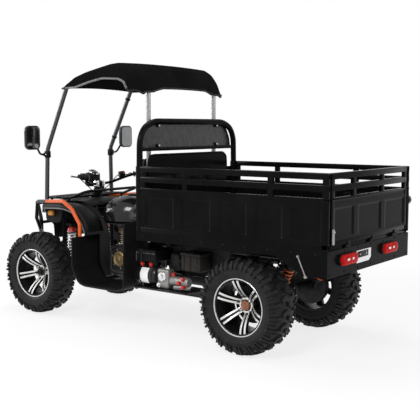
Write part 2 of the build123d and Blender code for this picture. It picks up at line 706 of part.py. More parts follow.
# Roof canopy
ROOF_FRONT_X = FRONT_AXLE_X - 225
ROOF_REAR_X = REAR_POST_X - POST_R
with BuildPart() as roof:
    with BuildSketch(Plane.XY.offset(ROOF_LOW_Z)):
        with BuildLine():
            Polyline(
                (ROOF_FRONT_X, 425), (ROOF_REAR_X, 515), (ROOF_REAR_X, -515), (ROOF_FRONT_X, -425), close=True
            )
        make_face()
    with BuildSketch(Plane.XY.offset(ROOF_TOP_Z)):
        with BuildLine():
            Polyline(
                (ROOF_FRONT_X - 110, 385),
                (ROOF_REAR_X + 175, 455),
                (ROOF_REAR_X + 175, -455),
                (ROOF_FRONT_X - 110, -385),
                close=True,
            )
        make_face()
    loft()
    # the top falls towards the front
    plate_xz(
        [
            (ROOF_REAR_X + 260, ROOF_TOP_Z),
            (ROOF_FRONT_X - 270, ROOF_TOP_Z - 40),
            (ROOF_FRONT_X - 115, ROOF_TOP_Z - 78),
            (ROOF_FRONT_X + 40, ROOF_LOW_Z + 40),
            (ROOF_FRONT_X + 40, ROOF_TOP_Z + 10),
            (ROOF_REAR_X + 260, ROOF_TOP_Z + 10),
        ],
        (-560, 560),
        mode=Mode.SUBTRACT,
    )
    offset(amount=-ROOF_T, openings=roof.faces().sort_by(Axis.Z)[0])
    # the sides are arched and the front edge is raised
    plate_xz(
        [
            (ROOF_REAR_X + 90, ROOF_LOW_Z - 10),
            (ROOF_REAR_X + 120, ROOF_LOW_Z + 62),
            (ROOF_REAR_X + 177, ROOF_LOW_Z + 86),
            (ROOF_REAR_X + 355, ROOF_LOW_Z + 99),
            (ROOF_REAR_X + 505, ROOF_LOW_Z + 76),
            (ROOF_FRONT_X - 60, ROOF_LOW_Z + 46),
            (ROOF_FRONT_X + 30, ROOF_LOW_Z + 50),
            (ROOF_FRONT_X + 30, ROOF_LOW_Z - 10),
        ],
        (-560, 560),
        mode=Mode.SUBTRACT,
    )
    # feet that stand on the posts
    for side in SIDES:
        block(
            (ROOF_REAR_X + 8, ROOF_REAR_X + 70),
            (side * (REAR_POST_Y - 30), side * (REAR_POST_Y + 30)),
            (ROOF_LOW_Z, ROOF_LOW_Z + 8),
        )
        front_foot = (FRONT_POST_TOP_X - 5, side * (FRONT_POST_Y + 7))
        bar((*front_foot, FRONT_POST_TOP_Z + 9), (*front_foot, FRONT_POST_TOP_Z + 24), POST_R)
save(roof.part, "roof")

# Mirrors on their arms
MIRROR_AT = (FRONT_AXLE_X - 41, 523, 1372)
with BuildPart() as mirrors:
    with BuildSketch(Plane(origin=MIRROR_AT, x_dir=(0, 1, 0), z_dir=(1, 0, 0))):
        RectangleRounded(140, 185, 35)
    extrude(amount=40)
    tube(
        [
            (FRONT_POST_X - 5, FRONT_POST_Y + POST_R + POST_LIFT, 1240),
            (FRONT_POST_X - 5, FRONT_POST_Y + 75, 1240),
            (MIRROR_AT[0] + 20, MIRROR_AT[1] - 40, 1320),
        ],
        8,
        20,
    )
    mirror(about=Plane.XZ)
save(mirrors.part, "mirrors")

# Hydraulic pack on the left: tray, motor, pump and valve block, with the battery above
PACK_Y = 425
PACK_Z = 440
PACK_FRONT_X = BED_FRONT_X + 100
PACK_BACK_X = REAR_AXLE_X + TYRE_R + 156
TRAY_Z = (328, 338)
MOTOR_R = 57
PUMP_R = 34
PUMP_DROP = 42
MOTOR_SHARE = 0.6  # of the pack's length, from its back to the motor
VALVE_SHARE = 0.38  # and to the valve block
motor_x = PACK_BACK_X + MOTOR_SHARE * (PACK_FRONT_X - PACK_BACK_X)
valve_x = PACK_BACK_X + VALVE_SHARE * (PACK_FRONT_X - PACK_BACK_X)
with BuildPart() as power_pack:
    block((PACK_BACK_X, PACK_FRONT_X), (FOOT_INNER_Y, PACK_Y + 70), TRAY_Z)
    block((PACK_BACK_X + 20, PACK_FRONT_X - 10), (FOOT_INNER_Y, FOOT_INNER_Y + 10), (RAIL_Z, TRAY_Z[1] - 2))
    bar((motor_x, PACK_Y, PACK_Z), (PACK_FRONT_X + 5, PACK_Y, PACK_Z), MOTOR_R)
    block((valve_x, motor_x), (PACK_Y - 40, PACK_Y + 40), (TRAY_Z[1], PACK_Z + 40))
    bar((PACK_BACK_X + 20, PACK_Y, PACK_Z - PUMP_DROP), (valve_x, PACK_Y, PACK_Z - PUMP_DROP), PUMP_R)
    block((PACK_FRONT_X - 80, PACK_FRONT_X - 60), (PACK_Y - 50, PACK_Y + 50), (TRAY_Z[1], PACK_Z))
save(power_pack.part, "power_pack")

with BuildPart() as battery_box:
    beam_low = UPPER_RAIL_Z - 20 - SEAT_GAP
    block((REAR_POST_X - 130, REAR_POST_X + 45), (290, 470), (beam_low - 85, beam_low))
save(battery_box.part, "battery_box")

# Steering: column with its drop arm, handlebar, grips and instrument pod
COLUMN_FOOT_Z = TIE_ROD_Z - 5
BAR_Z = 1000
CLAMP_REACH = 32
bar_centre = column_point(BAR_Z)
HALF_BAR = [
    # one half of the bar from the clamp outwards: back from the clamp, left, up
    (0, 110, 0),
    (-105, 270, 66),
    (-178, 390, 82),
]
with BuildPart() as handlebar:
    bar(column_point(COLUMN_FOOT_Z), column_point(BAR_Z + 20), COLUMN_R)
    half_bar = [(bar_centre[0] + x, y, BAR_Z + z) for x, y, z in HALF_BAR]
    tube([(x, -y, z) for x, y, z in reversed(half_bar)] + half_bar, BAR_R, 60)
    block((bar_centre[0] - 25, bar_centre[0] + CLAMP_REACH), (-45, 45), (BAR_Z - 22, BAR_Z + 22))
    arm_start = Vector(*column_point(COLUMN_FOOT_Z + 12))
    arm_end = arm_start + Vector(cos(radians(COLUMN_LEAN)), 0, sin(radians(COLUMN_LEAN))) * STEER_ARM
    bar(tuple(arm_start), tuple(arm_end), 10)
save(handlebar.part, "handlebar")

with BuildPart() as grips:
    bar_end = Vector(*half_bar[2])
    bar_run = (Vector(*half_bar[1]) - bar_end).normalized()
    bar(tuple(bar_end - bar_run * 8), tuple(bar_end + bar_run * GRIP_LENGTH), GRIP_R)
    bar(
        tuple(bar_end - bar_run * 2),
        tuple(bar_end + bar_run * (GRIP_LENGTH + 20)),
        BAR_R + SEAT_GAP,
        mode=Mode.SUBTRACT,
    )
    mirror(about=Plane.XZ)
save(grips.part, "grips")

with BuildPart() as pod:
    block(
        (bar_centre[0] + CLAMP_REACH + SEAT_GAP, bar_centre[0] + 130),
        (-110, 110),
        (BAR_Z - 25, BAR_Z + 88),
    )
    fillet(pod.edges().filter_by(Axis.X), 35)
save(pod.part, "instrument_pod")

# Cargo bed: floor on its beams
FLOOR_UNDER_Z = BED_FLOOR_Z - BED_FLOOR_T
FLOOR_REAR_X = BED_REAR_X + BED_WALL + RUN_GAP
with BuildPart() as bed_floor:
    block(
        (FLOOR_REAR_X, BED_FRONT_X - BED_POST - SEAT_GAP),
        (-BED_HALF + BED_WALL + SEAT_GAP, BED_HALF - BED_WALL - SEAT_GAP),
        (FLOOR_UNDER_Z, BED_FLOOR_Z),
    )
    for side in SIDES:
        for beam_y in (BED_BEAM_Y, BED_HALF - BED_BEAM / 2):
            block(
                (BED_REAR_X + SKIRT_T + SEAT_GAP, BED_FRONT_X),
                (side * beam_y - BED_BEAM / 2, side * beam_y + BED_BEAM / 2),
                (BED_RAIL_Z, FLOOR_UNDER_Z),
            )
        block(
            (TIP_X - 30, TIP_X + 30),
            (side * (BED_BEAM_Y - 20), side * (BED_BEAM_Y + 20)),
            (TIP_Z - 28, BED_RAIL_Z),
        )
        plate_xz(
            [
                (EYE_X - 45, FLOOR_UNDER_Z),
                (EYE_X + 45, FLOOR_UNDER_Z),
                (EYE_X + 16, EYE_Z - 18),
                (EYE_X - 16, EYE_Z - 18),
            ],
            (side * EAR_Y, side * (EAR_Y + EAR_T)),
        )
    bar((TIP_X, -BED_HALF, TIP_Z), (TIP_X, BED_HALF, TIP_Z), TIP_PIN_R + SEAT_GAP, mode=Mode.SUBTRACT)
save(bed_floor.part, "bed_floor")

# Cargo bed: sides with their posts and two rails
SIDE_X = (BED_REAR_X, BED_FRONT_X - BED_POST - SEAT_GAP)
SIDE_LOW_Z = FLOOR_UNDER_Z + SEAT_GAP
SIDE_POSTS = (BED_FRONT_X - 1087, BED_FRONT_X - 427)
RAIL_TOPS = (RAIL_TOP_Z, PANEL_TOP_Z + 64)
BAYS = 5
BAY_MARGIN = 40
BAY_DEPTH = 6
for name, side in (("left", 1), ("right", -1)):
    wall = (side * (BED_HALF - BED_WALL), side * BED_HALF)
    with BuildPart() as bed_side:
        block(SIDE_X, wall, (SIDE_LOW_Z, PANEL_TOP_Z))
        for rail_top in RAIL_TOPS:
            block(SIDE_X, wall, (rail_top - RAIL_BAR, rail_top))
        block((SIDE_X[0], SIDE_X[0] + BED_POST), wall, (PANEL_TOP_Z, RAIL_TOP_Z))
        for post_x in SIDE_POSTS:
            block((post_x - 20, post_x + 20), wall, (PANEL_TOP_Z, RAIL_TOP_Z))
        block((SIDE_X[1] - BED_POST, SIDE_X[1]), wall, (PANEL_TOP_Z, RAIL_TOP_Z))
        bay = (SIDE_X[1] - SIDE_X[0] - 2 * BAY_MARGIN) / BAYS
        for index in range(BAYS):
            start = SIDE_X[0] + BAY_MARGIN + index * bay
            block(
                (start + 18, start + bay - 18),
                (side * (BED_HALF - BAY_DEPTH), side * (BED_HALF + BAY_DEPTH)),
                (SIDE_LOW_Z + 38, PANEL_TOP_Z - 55),
                mode=Mode.SUBTRACT,
            )
    save(bed_side.part, f"bed_side_{name}")

# Cargo bed: headboard with corner posts and the guard hoop
HOOP_X = BED_FRONT_X - HOOP_R
BOARD_T = 20
BOARD_LOW_Z = FLOOR_UNDER_Z + SEAT_GAP
BOARD_TOP_Z = RAIL_TOP_Z + 73
BOARD_HALF = BED_HALF - 114
HOOP_BAR_RISE = 111
HOOP_BAR_R = 14
HOOP_LINE = [
    # one leg of the hoop: in from the bed's side, above the rail
    (20, 0),
    (24, 181),
    (69, 261),
    (169, HOOP_RISE - HOOP_R),
]
with BuildPart() as headboard:
    for side in SIDES:
        block(
            (BED_FRONT_X - BED_POST, BED_FRONT_X),
            (side * (BED_HALF - BED_POST), side * BED_HALF),
            (BOARD_LOW_Z, RAIL_TOP_Z),
        )
    # the sill at the floor's front edge, and the board on it
    for depth, board_top in ((BED_POST, BED_FLOOR_Z), (BOARD_T, RAIL_TOP_Z - 40)):
        block(
            (BED_FRONT_X - depth, BED_FRONT_X),
            (-BED_HALF + BED_POST, BED_HALF - BED_POST),
            (BOARD_LOW_Z, board_top),
        )
    with BuildSketch(Plane.YZ.offset(BED_FRONT_X - BOARD_T)):
        with Locations((0, (BED_FLOOR_Z + 100 + BOARD_TOP_Z) / 2)):
            RectangleRounded(2 * BOARD_HALF, BOARD_TOP_Z - BED_FLOOR_Z - 100, 60)
    extrude(amount=BOARD_T)
    left_leg = [(HOOP_X, BED_HALF - inset, RAIL_TOP_Z + rise) for inset, rise in HOOP_LINE]
    tube([(x, -y, z) for x, y, z in left_leg] + left_leg[::-1], HOOP_R, 55)
    hoop_bar = (HOOP_X, BED_HALF - HOOP_BAR_R, RAIL_TOP_Z + HOOP_BAR_RISE)
    bar((hoop_bar[0], -hoop_bar[1], hoop_bar[2]), hoop_bar, HOOP_BAR_R)
save(headboard.part, "headboard")

PANEL_T = 10
PANEL_LINE = [
    # the panel's left edge: in from the bed's side, above the rail
    (34, 101),
    (49, 181),
    (94, 261),
    (174, 309),
]
with BuildPart() as guard_panel:
    left_edge = [(BED_HALF - inset, RAIL_TOP_Z + rise) for inset, rise in PANEL_LINE]
    plate_yz(
        left_edge + [(-y, z) for y, z in reversed(left_edge)],
        (BED_FRONT_X + SEAT_GAP, BED_FRONT_X + SEAT_GAP + PANEL_T),
    )
save(guard_panel.part, "guard_panel")

# Cargo bed: tail skirt with the gate's hinge barrels, lamps and plate holder
SKIRT_TOP_Z = GATE_PIN_Z - 12
BARREL_LENGTH = 32
HINGE_GAP = 0.25
HINGES = (-330, 0, 330)
SKIRT_SIDE = [
    # outline of a side skirt: forward of the bed's tail, height
    (0, BED_RAIL_Z - SEAT_GAP),
    (0, SKIRT_Z),
    (169, SKIRT_Z + 10),
    (244, SKIRT_Z + 44),
    (360, BED_RAIL_Z - SEAT_GAP),
]
with BuildPart() as tail_skirt:
    block((BED_REAR_X, BED_REAR_X + SKIRT_T), (-BED_HALF, BED_HALF), (SKIRT_Z, SKIRT_TOP_Z))
    for side in SIDES:
        plate_xz(
            [(BED_REAR_X + x, z) for x, z in SKIRT_SIDE], (side * (BED_HALF - SKIRT_T), side * BED_HALF)
        )
    for hinge_y in HINGES:
        bar(
            (GATE_PIN_X, hinge_y + HINGE_GAP, GATE_PIN_Z),
            (GATE_PIN_X, hinge_y + BARREL_LENGTH, GATE_PIN_Z),
            GATE_PIN_R,
        )
        block(
            (BED_REAR_X, BED_REAR_X + SKIRT_T - 3),
            (hinge_y + HINGE_GAP, hinge_y + BARREL_LENGTH),
            (SKIRT_TOP_Z, GATE_PIN_Z),
        )
save(tail_skirt.part, "tail_skirt")

LAMP_Y = (335, -245)
LAMP_HALF = 114
LAMP_Z = (633, 701)
with BuildPart() as tail_lamps:
    for lamp_y in LAMP_Y:
        block((BED_REAR_X - LAMP_DEPTH, BED_REAR_X - SEAT_GAP), (lamp_y - LAMP_HALF, lamp_y + LAMP_HALF), LAMP_Z)
save(tail_lamps.part, "tail_lamps")

with BuildPart() as plate_holder:
    block((BED_REAR_X - 5, BED_REAR_X - SEAT_GAP), (10, 206), (620, 697))
save(plate_holder.part, "plate_holder")

# Tailgate with its rails and hinge barrels
GATE_HALF = BED_HALF - BED_POST - RUN_GAP
GATE_POSTS = (238, -160)
with BuildPart() as tailgate:
    gate_x = (BED_REAR_X, BED_REAR_X + BED_WALL)
    block(gate_x, (-GATE_HALF, GATE_HALF), (BED_FLOOR_Z, PANEL_TOP_Z))
    for rail_top in RAIL_TOPS:
        block(gate_x, (-GATE_HALF, GATE_HALF), (rail_top - RAIL_BAR, rail_top))
    for post_y in (GATE_HALF - 20, GATE_POSTS[0], GATE_POSTS[1], -GATE_HALF + 20):
        block(gate_x, (post_y - 20, post_y + 20), (PANEL_TOP_Z, RAIL_TOP_Z))
    for hinge_y in HINGES:
        bar(
            (GATE_PIN_X, hinge_y - HINGE_GAP, GATE_PIN_Z),
            (GATE_PIN_X, hinge_y - BARREL_LENGTH, GATE_PIN_Z),
            GATE_PIN_R,
        )
        block(
            (GATE_PIN_X, GATE_PIN_X + 12),
            (hinge_y - BARREL_LENGTH, hinge_y - HINGE_GAP),
            (GATE_PIN_Z, BED_FLOOR_Z),
        )
save(tailgate.part, "tailgate")

# Tipping cylinder
foot = Vector(FOOT_X, 0, FOOT_Z)
eye = Vector(EYE_X, 0, EYE_Z)
thrust = (eye - foot).normalized()
closed_length = (eye - foot).length
with BuildPart() as cylinder_barrel:
    bar(tuple(foot), tuple(foot + thrust * 55), EYE_WIDTH / 2 - 4)
    bar(tuple(foot + thrust * 45), tuple(foot + thrust * (closed_length - 55)), BARREL_R)
    bar((FOOT_X, -EYE_WIDTH / 2, FOOT_Z), (FOOT_X, EYE_WIDTH / 2, FOOT_Z), EYE_R)
    bar((FOOT_X, -EYE_WIDTH, FOOT_Z), (FOOT_X, EYE_WIDTH, FOOT_Z), FOOT_PIN_R + SEAT_GAP, mode=Mode.SUBTRACT)
    bar(tuple(foot + thrust * 60), tuple(eye), ROD_R + 1, mode=Mode.SUBTRACT)
save(cylinder_barrel.part, "cylinder_barrel")

with BuildPart() as cylinder_rod:
    bar(tuple(foot + thrust * 80), tuple(eye - thrust * 12), ROD_R)
    bar((EYE_X, -EYE_WIDTH / 2, EYE_Z), (EYE_X, EYE_WIDTH / 2, EYE_Z), EYE_R)
save(cylinder_rod.part, "cylinder_rod")
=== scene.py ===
"""A utility quad bike with a roof and a tipping cargo bed, dressed for a studio picture."""
import logging
from collections.abc import Callable
from dataclasses import dataclass
from enum import Enum
from math import cos, pi, radians, sin

import bmesh
import bpy
import numpy as np
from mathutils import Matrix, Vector


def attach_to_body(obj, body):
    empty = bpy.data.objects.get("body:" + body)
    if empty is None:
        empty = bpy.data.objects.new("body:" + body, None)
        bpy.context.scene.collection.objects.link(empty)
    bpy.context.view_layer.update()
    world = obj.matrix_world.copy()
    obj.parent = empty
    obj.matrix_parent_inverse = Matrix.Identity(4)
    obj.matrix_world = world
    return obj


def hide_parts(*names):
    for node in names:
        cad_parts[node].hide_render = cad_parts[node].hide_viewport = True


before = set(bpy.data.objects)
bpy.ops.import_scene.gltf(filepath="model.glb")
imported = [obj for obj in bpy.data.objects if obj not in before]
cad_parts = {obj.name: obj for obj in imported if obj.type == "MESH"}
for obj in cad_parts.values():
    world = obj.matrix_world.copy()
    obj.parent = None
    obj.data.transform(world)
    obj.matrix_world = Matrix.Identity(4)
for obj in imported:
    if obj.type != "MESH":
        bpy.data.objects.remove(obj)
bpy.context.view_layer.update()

LOG = logging.getLogger("quad")
Colour = tuple[float, float, float]
Point = tuple[float, float, float]
Span = tuple[float, float]
Profile = np.ndarray | list[Span]
Socket = bpy.types.NodeSocket
Tree = bpy.types.NodeTree
Piece = bpy.types.Object
Relief = Callable[[np.ndarray, np.ndarray], np.ndarray]
SIDES = (1, -1)
ACROSS = {"x": (2, 0, 1), "y": (0, 2, 1), "z": (0, 1, 2)}  # where an outline's two values and its distance go
STEEL_FACE = 0.2703  # outer face of the lower rails, to the left


# Surfaces


@dataclass
class Shell:
    """A surface before it goes into a mesh.

    Args:
        points: Array of n points, three numbers each.
        faces: Arrays of faces, each array with its own number of corners.
        slot: Which of the piece's finishes it takes.
    """

    points: np.ndarray
    faces: list[np.ndarray]
    slot: int = 0

    def mirrored(self) -> "Shell":
        """Return the same surface on the other side of the quad."""
        return Shell(self.points * np.array([1, -1, 1]), [f[:, ::-1] for f in self.faces], self.slot)


def both(shells: list[Shell]) -> list[Shell]:
    """Return shells and their mirror images."""
    return shells + [shell.mirrored() for shell in shells]


def grid_faces(rows: int, cols: int, wrap_rows: bool = False, wrap_cols: bool = False) -> np.ndarray:
    """Number the quads of a grid of points, row by row.

    Args:
        rows: Points along the first parameter.
        cols: Points along the second parameter.
        wrap_rows: The last row joins the first.
        wrap_cols: The last column joins the first.

    Returns:
        Array of quads.
    """
    r = np.arange(rows if wrap_rows else rows - 1)[:, None]
    c = np.arange(cols if wrap_cols else cols - 1)[None, :]
    r2, c2 = (r + 1) % rows, (c + 1) % cols
    corners = (r * cols + c, r * cols + c2, r2 * cols + c2, r2 * cols + c)
    return np.stack([np.broadcast_to(k, (r.size, c.size)) for k in corners], -1).reshape(-1, 4)


def surface(points: np.ndarray, wrap_rows: bool = False, wrap_cols: bool = False, caps: bool = False,
            slot: int = 0) -> Shell:
    """Turn a grid of points into a shell, where caps close the first and the last row.

    Args:
        points: Array of rows, columns and three numbers.
        wrap_rows: The last row joins the first.
        wrap_cols: The last column joins the first.
        caps: Put one face over each end row.
        slot: Which finish it takes.

    Returns:
        The shell.
    """
    rows, cols = points.shape[:2]
    faces = [grid_faces(rows, cols, wrap_rows, wrap_cols)]
    if caps:
        faces.append(np.arange(cols)[None, ::-1])
        faces.append(np.arange(cols)[None, :] + (rows - 1) * cols)
    return Shell(points.reshape(-1, 3), faces, slot)


def points_of(x: np.ndarray | float, y: np.ndarray | float, z: np.ndarray | float) -> np.ndarray:
    """Return points from coordinates that fill out to one shape."""
    return np.stack(np.broadcast_arrays(x, y, z), -1)


def unit(vectors: np.ndarray) -> np.ndarray:
    """Return vectors scaled to length one."""
    return vectors / np.maximum(np.linalg.norm(vectors, axis=-1, keepdims=True), 1e-12)


def sweep(path: np.ndarray, profile: np.ndarray, up: Point, wrap: bool = False, scale: np.ndarray | None = None,
          slot: int = 0) -> Shell:
    """Carry a closed profile along a path: each point is the path plus the profile across it.

    Args:
        path: Array of n points.
        profile: Array of m pairs, along the side direction and along the up direction.
        up: A direction that no run of the path follows.
        wrap: The path is a ring.
        scale: Size of the profile at each point of the path.
        slot: Which finish it takes.

    Returns:
        The shell, closed at both ends.
    """
    along = unit(np.roll(path, -1, 0) - np.roll(path, 1, 0) if wrap else np.gradient(path, axis=0))
    across = unit(np.cross(np.array(up, float), along))
    above = np.cross(along, across)
    size = np.ones(len(path)) if scale is None else scale
    profile = profile[None] * size[:, None, None]
    points = path[:, None] + profile[..., :1] * across[:, None] + profile[..., 1:] * above[:, None]
    return surface(points, wrap, True, not wrap, slot)


def circle(radius: float, sides: int = 16) -> np.ndarray:
    """Return a round profile."""
    turn = np.linspace(0, 2 * pi, sides, endpoint=False)
    return radius * np.stack([np.cos(turn), np.sin(turn)], -1)


def rounded(width: float, height: float, radius: float, steps: int = 4) -> np.ndarray:
    """Return a rectangular profile with round corners: a corner's centre plus a quarter turn about it.

    Args:
        width: Along the first direction.
        height: Along the second direction.
        radius: Of the corners.
        steps: Points in a corner.

    Returns:
        Array of pairs.
    """
    turn = np.linspace(0, pi / 2, steps)[None] + np.array([0, 1, 2, 3])[:, None] * pi / 2
    signs = np.array([(1, 1), (-1, 1), (-1, -1), (1, -1)])
    centres = signs * (np.array([width, height]) / 2 - radius)
    return (centres[:, None] + radius * np.stack([np.cos(turn), np.sin(turn)], -1)).reshape(-1, 2)


def smooth_path(corners: list[Point], radius: float, steps: int = 7) -> np.ndarray:
    """Round the corners of a tube's route: at each corner a parabola joins the two runs.

    Args:
        corners: The route's points.
        radius: How far before and after a corner its bend starts and ends.
        steps: Points in a bend.

    Returns:
        Array of points.
    """
    route = np.array(corners, float)
    before, at, after = route[:-2], route[1:-1], route[2:]
    shorter = np.minimum(np.linalg.norm(at - before, axis=1), np.linalg.norm(after - at, axis=1))
    reach = np.minimum(radius, 0.48 * shorter)
    start = at + unit(before - at) * reach[:, None]
    end = at + unit(after - at) * reach[:, None]
    t = np.linspace(0, 1, steps)[None, :, None]
    bends = (1 - t) ** 2 * start[:, None] + 2 * t * (1 - t) * at[:, None] + t ** 2 * end[:, None]
    return np.concatenate([route[:1], bends.reshape(-1, 3), route[-1:]])


def lengths(line: np.ndarray) -> np.ndarray:
    """Return how far along a line each of its points is."""
    return np.concatenate([[0], np.cumsum(np.linalg.norm(np.diff(line, axis=0), axis=1))])


def follow(line: np.ndarray, at: np.ndarray) -> np.ndarray:
    """Return the places at distances along a line of pairs."""
    return np.stack([np.interp(at, lengths(line), line[:, k]) for k in (0, 1)], -1)


def loop(corners: list[Span], radius: float, steps: int = 6) -> np.ndarray:
    """Return a closed outline with round corners, from a point in one of its sides."""
    return smooth_path([(*c, 0) for c in (*corners, corners[0])], radius, steps)[:-1, :2]


def tube(corners: list[Point], radius: float, bend: float = 0.05, sides: int = 16, up: Point = (0.13, 0.21, 0.97),
         slot: int = 0) -> Shell:
    """Return a round tube along a route with bends."""
    path = smooth_path(corners, bend) if len(corners) > 2 else np.array(corners, float)
    return sweep(path, circle(radius, sides), up, slot=slot)


def block(x: Span, y: Span, z: Span, edge: float = 0.003, steps: int = 3, slot: int = 0) -> Shell:
    """Return a box with round edges: rounded rectangles that grow and shrink along a quarter turn at both ends.

    Args:
        x: From and to, forward.
        y: From and to, to the left.
        z: From and to, upward.
        edge: Radius of the edges.
        steps: Points along a quarter turn.
        slot: Which finish it takes.

    Returns:
        The shell.
    """
    low, high = np.sort(np.array([x, y, z], float), axis=1).T
    half = (high - low) / 2
    edge = min(edge, half.min() * 0.98)
    inner = half - edge
    quarter = np.linspace(0, pi / 2, steps)
    rings = [np.column_stack([rounded(*(2 * (inner[:2] + edge * cos(lift))), edge * cos(lift), steps),
                              np.full(4 * steps, end * inner[2] + edge * sin(lift))])
             for end, lifts in ((-1, quarter - pi / 2), (1, quarter)) for lift in lifts]
    return surface((low + high) / 2 + np.stack(rings), False, True, True, slot)


def lathe(profile: Profile, centre: Point, axis: Point = (0, 1, 0), turns: int = 64, closed: bool = False,
          slot: int = 0) -> Shell:
    """Turn a profile about an axis: each point is its distance along the axis plus its radius round it.

    Args:
        profile: Pairs, along the axis and away from it.
        centre: A point of the axis where the distance along it is zero.
        axis: The axis's direction.
        turns: Points in a circle.
        closed: The profile is a ring, so the last pair joins the first.
        slot: Which finish it takes.

    Returns:
        The shell.
    """
    main = unit(np.array(axis, float))
    side = unit(np.cross(main, [0.31, 0.2, 0.93] if abs(main[2]) < 0.9 else [1, 0, 0]))
    other = np.cross(main, side)
    turn = np.linspace(0, 2 * pi, turns, endpoint=False)
    ring = np.cos(turn)[:, None] * side + np.sin(turn)[:, None] * other
    profile = np.asarray(profile, float)
    points = np.array(centre) + profile[:, None, :1] * main + profile[:, None, 1:] * ring[None]
    return surface(points, closed, True, not closed, slot)


def stack(outline: np.ndarray, layers: list[Span], centre: Point, normal: str, slot: int = 0) -> Shell:
    """Return a closed form: an outline's copies round a centre, each scaled and so far along x, y or z."""
    rings = np.stack([np.column_stack([outline * scale, np.full(len(outline), d)]) for d, scale in layers])
    return surface(rings[..., ACROSS[normal]] + np.array(centre), False, True, True, slot)


def plate(outline: Profile, low: float, high: float, normal: str, slot: int = 0) -> Shell:
    """Return a flat plate: an outline carried from one distance to another along x, y or z."""
    return stack(np.asarray(outline), [(low, 1), (high, 1)], (0, 0, 0), normal, slot)


def pressed(u: np.ndarray, v: np.ndarray, lift: Relief, thick: float,
            place: Callable[[np.ndarray, np.ndarray, np.ndarray], np.ndarray], slot: int = 0) -> Shell:
    """Return a pressed sheet: a flat grid lifted by its relief, with a back sheet one thickness behind it.

    Args:
        u: Values along the first direction.
        v: Values along the second direction.
        lift: Function that gives the relief at pairs of values.
        thick: The sheet's thickness.
        place: Function that turns u, v and lift into points.
        slot: Which finish it takes.

    Returns:
        The closed shell.
    """
    a, b = np.meshgrid(u, v, indexing="ij")
    rows, cols = a.shape
    relief = lift(a, b)
    front, back = place(a, b, relief), place(a, b, relief - thick)
    faces = grid_faces(rows, cols)
    index = np.arange(rows * cols).reshape(rows, cols)
    rim = np.concatenate([index[:-1, 0], index[-1, :-1], index[:0:-1, -1], index[0, :0:-1]])
    step = rows * cols
    wall = np.stack([rim, np.roll(rim, -1), np.roll(rim, -1) + step, rim + step], -1)
    points = np.concatenate([front.reshape(-1, 3), back.reshape(-1, 3)])
    return Shell(points, [faces, faces[:, ::-1] + step, wall], slot)


def step_up(value: np.ndarray, start: float, end: float) -> np.ndarray:
    """Return a smooth rise from 0 to 1 between two values."""
    t = np.clip((value - start) / (end - start), 0, 1)
    return t * t * (3 - 2 * t)


def bump_box(u: np.ndarray, v: np.ndarray, spans: tuple[Span, Span], slope: float) -> np.ndarray:
    """Return 1 inside a rectangle and 0 outside it, with smooth slopes."""
    (u0, u1), (v0, v1) = spans
    return (step_up(u, u0, u0 + slope) * (1 - step_up(u, u1 - slope, u1))
            * step_up(v, v0, v0 + slope) * (1 - step_up(v, v1 - slope, v1)))


def bolts(places: np.ndarray | list[Point], axis: Point, radius: float, height: float, slot: int = 0) -> list[Shell]:
    """Return bolt heads at many places, each with six flats and a low dome, that face along an axis."""
    profile = [(0, radius), (height * 0.75, radius), (height, radius * 0.78), (height, 0.001)]
    return [lathe(profile, tuple(p), axis, 6, slot=slot) for p in np.atleast_2d(places)]


# Finishes


def feed(tree: Tree, target: bpy.types.Node, inputs: dict[str | int, object]) -> bpy.types.Node:
    """Set a node's inputs, or link them where the value is a socket.

    Args:
        tree: The material's nodes.
        target: The node.
        inputs: Values or sockets by the input's name or number.

    Returns:
        The node.
    """
    for name, value in inputs.items():
        if isinstance(value, Socket):
            tree.links.new(value, target.inputs[name])
        else:
            target.inputs[name].default_value = value
    return target


def node(tree: Tree, kind: str, inputs: dict[str | int, object] | None = None) -> bpy.types.Node:
    """Return a new shader node of a kind, with its inputs."""
    return feed(tree, tree.nodes.new(f"ShaderNode{kind}"), inputs or {})


class Grain(Enum):
    """How the fine relief of a finish is patterned."""

    CLOUD = "cloud"
    PEBBLE = "pebble"
    BRUSHED = "brushed"
    TURNED = "turned"


